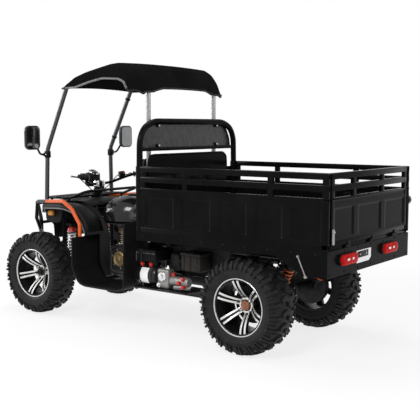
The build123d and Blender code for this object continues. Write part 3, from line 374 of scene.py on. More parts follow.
@dataclass(frozen=True)
class Finish:
    """A surface finish with drifting colour, uneven gloss and a fine relief.

    Args:
        name: Plain name.
        colour: Main colour.
        shade: Colour that it drifts towards in patches.
        drift: Patches to a metre.
        rough: Lowest and highest roughness.
        metal: 1 for bare metal.
        specular: Strength of the reflection of a coating.
        coat: Strength of a clear layer.
        grain: Pattern of the relief.
        grain_scale: Grains to a metre.
        relief: Strength of the relief.
        depth: Height of the relief in metres.
    """

    name: str
    colour: Colour
    shade: Colour
    drift: float = 6.0
    rough: Span = (0.3, 0.45)
    metal: float = 0.0
    specular: float = 0.3
    coat: float = 0.0
    grain: Grain = Grain.CLOUD
    grain_scale: float = 300.0
    relief: float = 0.15
    depth: float = 0.0006

    def material(self) -> bpy.types.Material:
        """Return the finish's material, made once.

        Returns:
            The material.
        """
        label = f"{self.name}_finish"
        made = bpy.data.materials.get(label)
        if made is not None:
            return made
        made = bpy.data.materials.new(label)
        made.use_nodes = True
        self.paint(made.node_tree)
        return made

    def paint(self, tree: Tree) -> None:
        """Lay out the nodes: patches give the colour, clouds the gloss and the grain the relief.

        Args:
            tree: The material's nodes.
        """
        where = node(tree, "TexCoord").outputs["Object"]
        gloss = node(tree, "MapRange", {"From Min": 0.3, "From Max": 0.7, "To Min": self.rough[0],
                                        "To Max": self.rough[1],
                                        "Value": self.noise(tree, where, self.drift * 7, 4.0)})
        bump = node(tree, "Bump", {"Strength": self.relief, "Distance": self.depth,
                                   "Height": self.grain_height(tree, where)})
        feed(tree, tree.nodes["Principled BSDF"], {
            "Base Color": self.colours(tree, where), "Roughness": gloss.outputs["Result"],
            "Normal": bump.outputs["Normal"], "Metallic": self.metal, "Specular IOR Level": self.specular,
            "Coat Weight": self.coat, "Coat Roughness": 0.08})

    def noise(self, tree: Tree, where: Socket, scale: float, detail: float) -> Socket:
        """Return the value of a noise with so many clouds to a metre."""
        return node(tree, "TexNoise", {"Scale": scale, "Detail": detail, "Vector": where}).outputs["Fac"]

    def colours(self, tree: Tree, where: Socket) -> Socket:
        """Return the colour socket: patches of the main colour and the shade.

        Args:
            tree: The material's nodes.
            where: Socket of the place.

        Returns:
            The socket.
        """
        ramp = node(tree, "ValToRGB", {"Fac": self.noise(tree, where, self.drift, 5.0)})
        for stop, place, colour in zip(ramp.color_ramp.elements, (0.35, 0.68), (self.colour, self.shade)):
            stop.position = place
            stop.color = (*colour, 1)
        return ramp.outputs["Color"]

    def grain_height(self, tree: Tree, where: Socket) -> Socket:
        """Return the height socket of the fine relief.

        Args:
            tree: The material's nodes.
            where: Socket of the place.

        Returns:
            The socket.
        """
        if self.grain is Grain.PEBBLE:
            cells = node(tree, "TexVoronoi", {"Scale": self.grain_scale, "Vector": where})
            cells.feature = "SMOOTH_F1"
            return cells.outputs["Distance"]
        if self.grain in (Grain.BRUSHED, Grain.TURNED):
            stretch = (1, 1, 14) if self.grain is Grain.BRUSHED else (6, 1, 6)
            where = node(tree, "Mapping", {"Scale": stretch, "Vector": where}).outputs["Vector"]
        return self.noise(tree, where, self.grain_scale, 3.0)


@dataclass(frozen=True)
class BandedFinish(Finish):
    """A finish that changes colour at one place along the quad.

    Args:
        ahead: Colour forward of the change.
        change_x: Where it changes.
    """

    ahead: Colour = (0.006, 0.006, 0.007)
    change_x: float = 0.0

    def colours(self, tree: Tree, where: Socket) -> Socket:
        """Return the colour socket: the patches behind the change, one dark colour ahead of it.

        Args:
            tree: The material's nodes.
            where: Socket of the place.

        Returns:
            The socket.
        """
        edge = node(tree, "MapRange", {"From Min": self.change_x - 0.002, "From Max": self.change_x + 0.002,
                                       "Value": node(tree, "SeparateXYZ", {"Vector": where}).outputs["X"]})
        mix = node(tree, "Mix", {"Factor": edge.outputs["Result"]})
        mix.data_type = "RGBA"
        behind, ahead = (s for s in mix.inputs if s.type == "RGBA")
        ahead.default_value = (*self.ahead, 1)
        tree.links.new(super().colours(tree, where), behind)
        return next(s for s in mix.outputs if s.type == "RGBA")


BED_PAINT = Finish("bed_paint", (0.0034, 0.0035, 0.0038), (0.0056, 0.0057, 0.006), rough=(0.14, 0.25), specular=0.035,
                   grain_scale=90, relief=0.12)
TUBE_PAINT = Finish("tube_paint", (0.0035, 0.0035, 0.004), (0.007, 0.007, 0.0075), rough=(0.15, 0.28), specular=0.1,
                    grain_scale=220)
FRAME_PAINT = Finish("frame_paint", (0.005, 0.005, 0.0056), (0.01, 0.01, 0.011), rough=(0.28, 0.45), specular=0.1,
                     grain_scale=260)
GUARD_PAINT = BandedFinish("guard_paint", (0.62, 0.085, 0.012), (0.7, 0.12, 0.02), rough=(0.22, 0.36),
                           grain_scale=160, relief=0.08, change_x=1.15)
# The front posts (ahead of x 0.5) take a darker colour: painted shade on the same grey metal as the rear posts.
POST_PAINT_AND_SHADE = BandedFinish("post_paint_and_shade", (0.26, 0.27, 0.28), (0.33, 0.335, 0.34), rough=(0.22, 0.32), metal=0.7,
                          grain_scale=60, relief=0.03, ahead=(0.07, 0.071, 0.075), change_x=0.5)
ROOF_LIP = Finish("roof_lip", (0.008, 0.008, 0.0085), (0.014, 0.014, 0.0145), drift=9, rough=(0.4, 0.55),
                  specular=0.12)
# Grey on the lips and edges of black mouldings: a painted highlight along the rounded edge.
LIP_HIGHLIGHT = Finish("lip_highlight", (0.07, 0.07, 0.074), (0.17, 0.17, 0.175), drift=70, rough=(0.35, 0.5))
MATT_MOULDING = Finish("matt_moulding", (0.005, 0.005, 0.0054), (0.009, 0.009, 0.0095), rough=(0.45, 0.6),
                       specular=0.12, grain=Grain.PEBBLE, grain_scale=420, relief=0.25)
ROOF_MOULDING = Finish("roof_moulding", (0.0055, 0.0056, 0.006), (0.0085, 0.0086, 0.009), drift=4, rough=(0.5, 0.65),
                       specular=0.0, grain=Grain.PEBBLE, grain_scale=320, relief=0.35)
GLOSS_MOULDING = Finish("gloss_moulding", (0.007, 0.007, 0.008), (0.012, 0.012, 0.013), rough=(0.1, 0.18),
                        specular=0.28, coat=0.18, grain_scale=70, relief=0.06)
PANEL_MOULDING = Finish("panel_moulding", (0.014, 0.014, 0.0155), (0.03, 0.03, 0.032), drift=9, rough=(0.18, 0.34),
                        specular=0.4, grain_scale=20, relief=0.9, depth=0.006)
RUBBER = Finish("tyre_rubber", (0.0095, 0.0095, 0.0097), (0.017, 0.017, 0.017), drift=14, rough=(0.48, 0.66),
                specular=0.16, grain=Grain.PEBBLE, grain_scale=500, relief=0.3)
GRIP_RUBBER = Finish("grip_rubber", (0.008, 0.008, 0.008), (0.014, 0.014, 0.014), rough=(0.5, 0.65), specular=0.15,
                     grain_scale=700)
ALLOY = Finish("machined_alloy", (0.66, 0.66, 0.65), (0.74, 0.74, 0.73), drift=18, rough=(0.2, 0.34), metal=0.85,
               specular=0.5, grain=Grain.TURNED, grain_scale=190, relief=0.12, depth=0.0003)
RIM_BLACK = Finish("rim_black", (0.005, 0.005, 0.005), (0.01, 0.01, 0.01), rough=(0.25, 0.4), specular=0.14)
CAP_COPPER = Finish("cap_copper", (0.22, 0.075, 0.04), (0.32, 0.16, 0.11), drift=60, rough=(0.25, 0.4), metal=0.7)
CAP_DARK = Finish("cap_dark", (0.02, 0.02, 0.021), (0.06, 0.06, 0.062), drift=60, rough=(0.2, 0.3), metal=0.5)
CHROME = Finish("bright_chrome", (0.7, 0.7, 0.71), (0.78, 0.78, 0.79), rough=(0.08, 0.16), metal=1.0, specular=0.5,
                grain_scale=90, relief=0.04)
VINYL = Finish("seat_vinyl", (0.008, 0.008, 0.009), (0.014, 0.014, 0.015), drift=8, rough=(0.36, 0.5), specular=0.22,
               grain=Grain.PEBBLE, grain_scale=260, relief=0.4, depth=0.0008)
CASE_DARK = Finish("case_dark", (0.02, 0.02, 0.021), (0.036, 0.036, 0.037), drift=20, rough=(0.4, 0.58), metal=0.4,
                   specular=0.2, grain_scale=340, relief=0.4)
CAST_ALLOY = Finish("cast_alloy", (0.26, 0.255, 0.245), (0.34, 0.335, 0.32), drift=20, rough=(0.42, 0.62), metal=0.75,
                    grain_scale=340, relief=0.4)
COVER_BRONZE = Finish("cover_bronze", (0.33, 0.23, 0.1), (0.45, 0.33, 0.17), drift=24, rough=(0.3, 0.45), metal=0.7,
                      grain_scale=200)
EXHAUST_STEEL = Finish("exhaust_steel", (0.05, 0.048, 0.046), (0.09, 0.085, 0.078), drift=10, rough=(0.35, 0.5),
                       metal=0.9, grain=Grain.BRUSHED, grain_scale=160)
SPRING_WHITE = Finish("spring_white", (0.72, 0.72, 0.71), (0.8, 0.8, 0.79), drift=20, rough=(0.25, 0.4), specular=0.5)
SPRING_ORANGE = Finish("spring_orange", (0.6, 0.1, 0.02), (0.68, 0.16, 0.04), drift=20, rough=(0.28, 0.42))
SIGNAL_RED = Finish("signal_red", (0.45, 0.012, 0.01), (0.55, 0.03, 0.02), drift=30, rough=(0.25, 0.4), specular=0.5)
ARM_RED = Finish("arm_red", (0.11, 0.012, 0.01), (0.16, 0.03, 0.02), drift=20, rough=(0.3, 0.45))
AXLE_IRON = Finish("axle_iron", (0.012, 0.012, 0.013), (0.026, 0.026, 0.027), drift=22, rough=(0.42, 0.6),
                   specular=0.2, relief=0.3)
BOX_BROWN = Finish("box_brown", (0.016, 0.0135, 0.012), (0.03, 0.026, 0.022), drift=22, rough=(0.45, 0.6),
                   specular=0.15, relief=0.3)
LENS_RED = Finish("lens_red", (0.4, 0.004, 0.005), (0.55, 0.012, 0.01), drift=40, rough=(0.14, 0.24), specular=0.04,
                  grain=Grain.PEBBLE, grain_scale=160, relief=0.5, depth=0.001)
LENS_AMBER = Finish("lens_amber", (0.7, 0.25, 0.02), (0.8, 0.34, 0.05), drift=40, rough=(0.12, 0.22),
                    coat=0.1, grain=Grain.PEBBLE, grain_scale=200, relief=0.4)
LENS_CLEAR = Finish("lens_clear", (0.62, 0.63, 0.64), (0.75, 0.76, 0.77), drift=30, rough=(0.08, 0.16), metal=0.5,
                    specular=0.5, coat=0.6, grain=Grain.PEBBLE, grain_scale=120, relief=0.4)
PLATE_WHITE = Finish("plate_white", (0.82, 0.82, 0.83), (0.88, 0.88, 0.88), drift=12, rough=(0.3, 0.45), specular=0.5)
MIRROR_GLASS = Finish("mirror_glass", (0.2, 0.205, 0.21), (0.26, 0.265, 0.27), rough=(0.03, 0.06), metal=1.0,
                      relief=0.02)
ZINC = Finish("zinc_plate", (0.42, 0.42, 0.41), (0.55, 0.54, 0.52), drift=60, rough=(0.28, 0.45), metal=0.9)
LATCH_GREY = Finish("latch_grey", (0.28, 0.285, 0.29), (0.36, 0.365, 0.37), drift=30, rough=(0.35, 0.5))


# Pieces and finishes on the model


def put(name: str, data: bpy.types.ID) -> Piece:
    """Return a new object in the scene."""
    piece = bpy.data.objects.new(name, data)
    bpy.context.scene.collection.objects.link(piece)
    return piece


def form(name: str, shells: list[Shell], finishes: list[Finish], sharp: float = 35.0) -> Piece:
    """Put shells into one mesh.

    Args:
        name: The piece's name.
        shells: Its surfaces.
        finishes: Its finishes, by the shells' slots.
        sharp: Edges that turn by more degrees than this stay crisp.

    Returns:
        The new object, not yet on a body.
    """
    mesh = bpy.data.meshes.new(name)
    offsets = np.cumsum([0] + [len(s.points) for s in shells])
    points = np.concatenate([s.points for s in shells])
    arrays = [(f + o, s.slot) for s, o in zip(shells, offsets) for f in s.faces]
    loops = np.concatenate([f.ravel() for f, _ in arrays])
    sizes = np.concatenate([np.full(len(f), f.shape[1]) for f, _ in arrays])
    slots = np.concatenate([np.full(len(f), k) for f, k in arrays])
    mesh.vertices.add(len(points))
    mesh.vertices.foreach_set("co", points.astype(np.float32).ravel())
    mesh.loops.add(len(loops))
    mesh.loops.foreach_set("vertex_index", loops.astype(np.int32))
    mesh.polygons.add(len(sizes))
    mesh.polygons.foreach_set("loop_start", (np.cumsum(sizes) - sizes).astype(np.int32))
    mesh.polygons.foreach_set("material_index", slots.astype(np.int32))
    mesh.update(calc_edges=True)
    mesh.validate()
    tidy(mesh, sharp)
    for finish in finishes:
        mesh.materials.append(finish.material())
    return put(name, mesh)


def make(name: str, shells: list[Shell], finishes: list[Finish], body: str = "chassis",
         nodes: tuple[str, ...] = (), sharp: float = 35.0, bevel: float = 0.0) -> Piece:
    """Put shells into one mesh that rides on a body.

    Args:
        name: The piece's name.
        shells: Its surfaces.
        finishes: Its finishes, by the shells' slots.
        body: The body that it rides on.
        nodes: The nodes that it stands for.
        sharp: Edges that turn by more degrees than this stay crisp.
        bevel: Width of a bevel on the crisp edges.

    Returns:
        The new object.
    """
    piece = form(name, shells, finishes, sharp)
    if bevel:
        edge = piece.modifiers.new("edges", "BEVEL")
        edge.width = bevel
        edge.segments = 2
        edge.limit_method = "ANGLE"
    return attach(piece, body, nodes)


def thicken(piece: Piece, thickness: float, offset: float = -1) -> None:
    """Give a sheet its wall, inward of its surface or about it."""
    wall = piece.modifiers.new("wall", "SOLIDIFY")
    wall.thickness, wall.offset = thickness, offset


def tidy(mesh: bpy.types.Mesh, sharp: float) -> None:
    """Merge doubles, turn every face outward and shade smoothly between crisp edges.

    Args:
        mesh: The mesh.
        sharp: Edges that turn by more degrees than this stay crisp.
    """
    work = bmesh.new()
    work.from_mesh(mesh)
    bmesh.ops.remove_doubles(work, verts=work.verts, dist=1e-6)
    bmesh.ops.dissolve_degenerate(work, edges=work.edges, dist=1e-7)
    bmesh.ops.recalc_face_normals(work, faces=work.faces)
    work.to_mesh(mesh)
    work.free()
    mesh.polygons.foreach_set("use_smooth", np.ones(len(mesh.polygons), bool))
    mesh.set_sharp_from_angle(angle=radians(sharp))


def attach(piece: Piece, body: str, nodes: tuple[str, ...]) -> Piece:
    """Make a piece ride on its body and stand for its nodes.

    Args:
        piece: The piece.
        body: The body that it rides on.
        nodes: The nodes that it stands for.

    Returns:
        The piece.
    """
    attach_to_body(piece, body)
    if nodes:
        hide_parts(*nodes)
    LOG.info("%s rides on %s", piece.name, body)
    return piece


# Studio


@dataclass(frozen=True)
class Lamp:
    """A soft square lamp.

    Args:
        name: Plain name.
        at: Its place.
        towards: The point that it faces.
        size: Its side.
        power: In watts.
    """

    name: str
    at: Point
    towards: Point
    size: float
    power: float

    def hang(self) -> None:
        """Put the lamp into the scene."""
        data = bpy.data.lights.new(self.name, "AREA")
        data.size = self.size
        data.energy = self.power
        lamp = put(self.name, data)
        lamp.location = self.at
        aim = np.array(self.towards) - np.array(self.at)
        lamp.rotation_euler = Vector(aim.tolist()).to_track_quat("-Z", "Y").to_euler()


@dataclass(frozen=True)
class Studio:
    """Camera, lamps, floor and background.

    Args:
        eye: The camera's place.
        heading: The camera's turn about the vertical, in degrees.
        pitch: How far it looks down, in degrees.
        lens: Focal length in millimetres on a sensor of 36.
        ambient: Brightness of the surroundings.
        fade: Distances at which the floor's shadow starts and ends to fade.
        wash: Share of plain white in the floor under the quad.
    """

    eye: Point = (-3.71043, 4.67525, 1.45693)
    heading: float = 216.935
    pitch: float = 5.889
    lens: float = 69.295
    ambient: float = 0.42
    fade: Span = (2.2, 3.6)
    wash: float = 0.8
    lamps: tuple[Lamp, ...] = (
        Lamp("key", (-1.4, 4.6, 3.9), (0, 0, 0.7), 1.6, 150),
        Lamp("top", (0.4, -0.3, 5.0), (0, 0, 0), 2.4, 100),
        Lamp("front", (5.0, 2.4, 2.4), (0.4, 0, 0.8), 1.5, 105),
        Lamp("tail", (-5.0, -1.6, 2.6), (-0.6, 0, 0.8), 1.4, 45),
    )

    def build(self) -> None:
        """Set up the whole studio."""
        scene = bpy.context.scene
        scene.view_settings.view_transform = "Standard"
        data = bpy.data.cameras.new("camera")
        data.lens = self.lens
        data.sensor_width = 36
        data.clip_end = 60
        camera = put("camera", data)
        camera.location = self.eye
        camera.rotation_euler = (radians(90 - self.pitch), 0, radians(self.heading))
        scene.camera = camera
        for lamp in self.lamps:
            lamp.hang()
        self.surround()
        self.floor()

    def surround(self) -> None:
        """White where the camera, gloss or glass looks past the quad, plain grey light elsewhere."""
        world = bpy.data.worlds.new("surround")
        bpy.context.scene.world = world
        world.use_nodes = True
        tree = world.node_tree
        path = node(tree, "LightPath").outputs
        seen = path["Is Camera Ray"]
        for ray in ("Is Glossy Ray", "Is Transmission Ray"):
            either = node(tree, "Math", {0: seen, 1: path[ray]})
            either.operation = "MAXIMUM"
            seen = either.outputs[0]
        level = node(tree, "MapRange", {"To Min": self.ambient, "To Max": 1.0, "Value": seen})
        feed(tree, tree.nodes["Background"], {"Color": (1, 1, 1, 1), "Strength": level.outputs["Result"]})

    def floor(self) -> None:
        """A pale floor that takes the shadow near the quad and fades into the white background."""
        mesh = bpy.data.meshes.new("floor")
        reach = 14.0
        mesh.from_pydata([(-reach, -reach, 0), (reach, -reach, 0), (reach, reach, 0), (-reach, reach, 0)], [],
                         [(0, 1, 2, 3)])
        material = bpy.data.materials.new("floor_pale")
        material.use_nodes = True
        tree = material.node_tree
        tree.nodes.remove(tree.nodes["Principled BSDF"])
        matt = node(tree, "BsdfDiffuse", {"Color": (0.95, 0.95, 0.95, 1)})
        far = node(tree, "VectorMath", {0: node(tree, "TexCoord").outputs["Object"]})
        far.operation = "LENGTH"
        fade = node(tree, "MapRange", {"From Min": self.fade[0], "From Max": self.fade[1], "To Min": self.wash,
                                       "Value": far.outputs["Value"]})
        fade.interpolation_type = "SMOOTHSTEP"
        mix = node(tree, "MixShader", {"Fac": fade.outputs["Result"], 1: matt.outputs[0],
                                       2: node(tree, "Emission").outputs[0]})
        feed(tree, tree.nodes["Material Output"], {"Surface": mix.outputs[0]})
        mesh.materials.append(material)
        put("floor", mesh)


# Wheels


@dataclass(frozen=True)
class Wheel:
    """A knobbly tyre on an alloy rim with six twin spokes.

    Args:
        name: Which wheel it is.
        centre: Its middle.
        side: 1 on the left, -1 on the right.
        tyre_half: Half the tyre's width.
        rim_half: Half the rim's width between the flanges.
        cap: Finish of the centre cap.
        turn: Turn of the spokes, in degrees.
        tyre_r: Radius over the tread blocks.
        lug_depth: Height of the blocks.
        bead_r: Radius of the tyre's inner edge.
        belly_r: Radius at the tyre's widest place.
        pitches: Blocks in a row.
        spokes: Twin spokes.
        hub_depth: How far the hub lies behind the lip.
    """

    name: str
    centre: Point
    side: int
    tyre_half: float
    rim_half: float
    cap: Finish
    turn: float = 0.0
    tyre_r: float = 0.318
    lug_depth: float = 0.016
    bead_r: float = 0.190
    belly_r: float = 0.252
    pitches: int = 22
    spokes: int = 6
    hub_depth: float = 0.085

    def wall(self, arc: np.ndarray) -> tuple[np.ndarray, np.ndarray]:
        """Find places on the half of the tyre's bare section.

        The section is a squarish quarter oval from the crown to the widest place, then a quarter oval to the bead.

        Args:
            arc: Distances along the section from the crown.

        Returns:
            Places as pairs of distance from the middle and radius, and the outward directions there.
        """
        crown = self.tyre_r - self.lug_depth
        t = np.linspace(0, pi / 2, 160)
        wide = self.tyre_half - 0.004
        upper = np.stack([wide * np.sin(t) ** 0.72, self.belly_r + (crown - self.belly_r) * np.cos(t) ** 0.72], -1)
        lower = np.stack([
            self.rim_half + 0.002 + (wide - self.rim_half - 0.002) * np.cos(t),
            self.belly_r - (self.belly_r - self.bead_r) * np.sin(t),
        ], -1)
        line = np.concatenate([upper, lower[1:]])
        run = unit(follow(line, arc + 0.002) - follow(line, arc - 0.002))
        return follow(line, arc), np.stack([-run[:, 1], run[:, 0]], -1)

    def spin(self, axial: np.ndarray, radius: np.ndarray, turn: np.ndarray) -> np.ndarray:
        """Return points at distances outward along the axle, radii and turns about it."""
        x, z = radius * np.cos(turn), radius * np.sin(turn)
        return points_of(self.centre[0] + x, self.centre[1] + self.side * axial, self.centre[2] + z)

    def carcass(self) -> Shell:
        """Return the tyre's body: its section with raised rings, turned about the axle.

        Returns:
            The shell.
        """
        arc = np.linspace(0, 0.246, 64)
        place, out = self.wall(arc)
        ring = 0.0022 * np.exp(-((arc - 0.172) / 0.003) ** 2) + 0.0026 * np.exp(-((arc - 0.212) / 0.005) ** 2)
        half = place + out * ring[:, None]
        profile = np.concatenate([half[::-1], half[1:] * np.array([-1, 1])])
        inner = np.array([(-self.rim_half, 0.176), (self.rim_half, 0.176)])
        profile = np.concatenate([profile, inner]) * np.array([self.side, 1])
        return lathe(profile, self.centre, turns=96, closed=True)

    def lug(self, outline: np.ndarray, flip: int, shift: float) -> Shell:
        """Return one row of tread blocks: an outline on the tyre's body, lifted and drawn in at its top.

        Args:
            outline: Pairs of distance along the section and distance round the tyre.
            flip: 1 for the outer half of the tread, -1 for the inner half.
            shift: Turn of the row in parts of a pitch.

        Returns:
            The row's shell.
        """
        middle = outline.mean(0)
        crown = middle + (outline - middle) * 0.86
        layers = [(outline, -0.002), (outline, self.lug_depth * 0.8), (crown, self.lug_depth)]
        turns = (np.arange(self.pitches) + shift) * 2 * pi / self.pitches
        rings = []
        for ring, lift in layers:
            place, out = self.wall(ring[:, 0])
            spot = place + out * lift
            turn = turns[:, None] + ring[None, :, 1] / self.tyre_r
            rings.append(self.spin(flip * spot[:, 0], spot[:, 1], turn))
        points = np.stack(rings, 1)
        count, size = len(outline), 3 * len(outline)
        one = grid_faces(3, count, False, True)
        base = np.arange(self.pitches)[:, None, None] * size
        top = (np.arange(count)[None] + 2 * count)[None] + base
        return Shell(points.reshape(-1, 3), [(one[None] + base).reshape(-1, 4), top.reshape(-1, count)])

    def tyre(self) -> None:
        """Build the tyre: its body with blocks in four rows and bars on the shoulders."""
        scale = self.tyre_half / 0.125
        centre = np.array([(0.004, -0.016), (0.03, -0.012), (0.056, 0.004), (0.056, 0.034), (0.03, 0.02),
                           (0.004, 0.012)])
        shoulder = np.array([(0.066, 0.0), (0.1, 0.006), (0.146, 0.01), (0.152, 0.036), (0.1, 0.036), (0.066, 0.03)])
        toe = np.array([(0.104, -0.026), (0.134, -0.024), (0.15, -0.016), (0.15, -0.004), (0.104, -0.01)])
        shells = [self.carcass()]
        for flip, shift in ((1, 0.0), (-1, 0.5)):
            for outline, drift in ((centre, 0.0), (shoulder, 0.22), (toe, 0.22)):
                shells.append(self.lug(outline * np.array([scale, 1]), flip, shift + drift))
        make(f"{self.name}_tyre", shells, [RUBBER], f"wheel_{self.name}",
             (f"tyre_{self.name}",), sharp=40)

    def barrel(self) -> list[Shell]:
        """Return the rim's barrel and its machined lip, both turned about the axle.

        Returns:
            The shells.
        """
        w = self.rim_half + 0.006
        well = np.array([
            (-w, 0.19), (-w, 0.172), (-w + 0.03, 0.166), (-0.02, 0.158), (w - 0.05, 0.162), (w - 0.012, 0.176),
            (w - 0.012, 0.183), (w - 0.008, 0.1885), (w - 0.008, 0.172), (w - 0.05, 0.169), (-0.02, 0.166),
            (-w + 0.006, 0.175), (-w + 0.006, 0.19),
        ])
        lip = np.array([(w - 0.012, 0.177), (w - 0.001, 0.182), (w, 0.187), (w - 0.002, 0.190), (w - 0.008, 0.1895),
                        (w - 0.009, 0.184)])
        flip = np.array([self.side, 1])
        return [lathe(well * flip, self.centre, turns=96, closed=True, slot=1),
                lathe(lip * flip, self.centre, turns=96, closed=True, slot=0)]

    def spoke_face(self, radius: np.ndarray) -> np.ndarray:
        """Return how far out the spokes' face is: deep at the hub, rising to the lip."""
        t = np.clip((radius - 0.05) / (0.18 - 0.05), 0, 1)
        return self.rim_half - 0.006 - self.hub_depth * (1 - t) ** 1.7

    def spoke_bars(self) -> list[Shell]:
        """Return the twin bars of each spoke, with a machined face, and the dark web between them.

        Returns:
            The shells.
        """
        radius = np.linspace(0.03, 0.1795, 20)
        t = (radius - 0.03) / 0.15
        face = self.spoke_face(radius)
        sunk = face - 0.011 * step_up(t, 0.22, 0.36)
        span = 0.0105 + 0.007 * t
        half = 0.0068 + 0.0022 * np.abs(t - 0.5) + 0.006 * step_up(t, 0.93, 1.0)
        edges = [(-half, -0.03), (-half, -0.0015), (-half + 0.0015, 0.0), (half - 0.0015, 0.0), (half, -0.0015),
                 (half, -0.03)]
        shells = []
        for turn in radians(self.turn) + np.arange(self.spokes) * 2 * pi / self.spokes:
            for bar in SIDES:
                rows = [self.place_on_spoke(radius, bar * span + across, face + drop, turn) for across, drop in edges]
                points = np.stack(rows, 1)
                shells += [surface(points[:, 1:5]), surface(points[:, :2], slot=1), surface(points[:, 4:], slot=1)]
            for depth, wide in ((sunk, span), (face - 0.03, -span - 0.008)):
                web = [self.place_on_spoke(radius, across, depth, turn) for across in (-wide, wide)]
                shells.append(surface(np.stack(web, 1), slot=1))
        return shells

    def place_on_spoke(self, radius: np.ndarray, across: np.ndarray, axial: np.ndarray, turn: float) -> np.ndarray:
        """Return points at radii along a spoke, moved across it and out along the axle."""
        x, z = radius * cos(turn) - across * sin(turn), radius * sin(turn) + across * cos(turn)
        return np.stack([self.centre[0] + x, self.centre[1] + self.side * axial, self.centre[2] + z], -1)

    def hub(self) -> list[Shell]:
        """Return the hub, its cap and four nuts in dark pockets.

        Returns:
            The shells.
        """
        out = float(self.spoke_face(np.array([0.05]))[0])
        flip = np.array([self.side, 1])
        boss = np.array([(out - 0.045, 0.03), (out - 0.045, 0.05), (out - 0.004, 0.054), (out + 0.001, 0.05),
                         (out + 0.001, 0.037), (out - 0.008, 0.036), (out - 0.008, 0.001)])
        cap = np.array([(out - 0.006, 0.0355), (out + 0.009, 0.034), (out + 0.013, 0.031), (out + 0.0115, 0.028),
                        (out + 0.0125, 0.02), (out + 0.015, 0.006), (out + 0.015, 0.001)])
        shells = [lathe(boss * flip, self.centre, slot=0), lathe(cap * flip, self.centre, slot=2)]
        nut = np.array([(out - 0.002, 0.0095), (out + 0.01, 0.0095), (out + 0.014, 0.006), (out + 0.014, 0.001)])
        pocket = np.array([(out - 0.004, 0.0145), (out + 0.002, 0.0145), (out + 0.002, 0.0115),
                           (out - 0.004, 0.0115)])
        for turn in np.arange(4) * pi / 2 + pi / 4:
            spot = (self.centre[0] + 0.046 * cos(turn), self.centre[1], self.centre[2] + 0.046 * sin(turn))
            shells += [lathe(nut * flip, spot, turns=6, slot=3),
                       lathe(pocket * flip, spot, turns=20, closed=True, slot=1)]
        return shells

    def rim(self) -> None:
        """Build the rim with its spokes and hub."""
        shells = self.barrel() + self.spoke_bars() + self.hub()
        make(f"{self.name}_rim", shells, [ALLOY, RIM_BLACK, self.cap, ZINC], f"wheel_{self.name}",
             (f"rim_{self.name}",), sharp=30)

    def build(self) -> None:
        """Build the whole wheel."""
        self.tyre()
        self.rim()


# Cargo bed


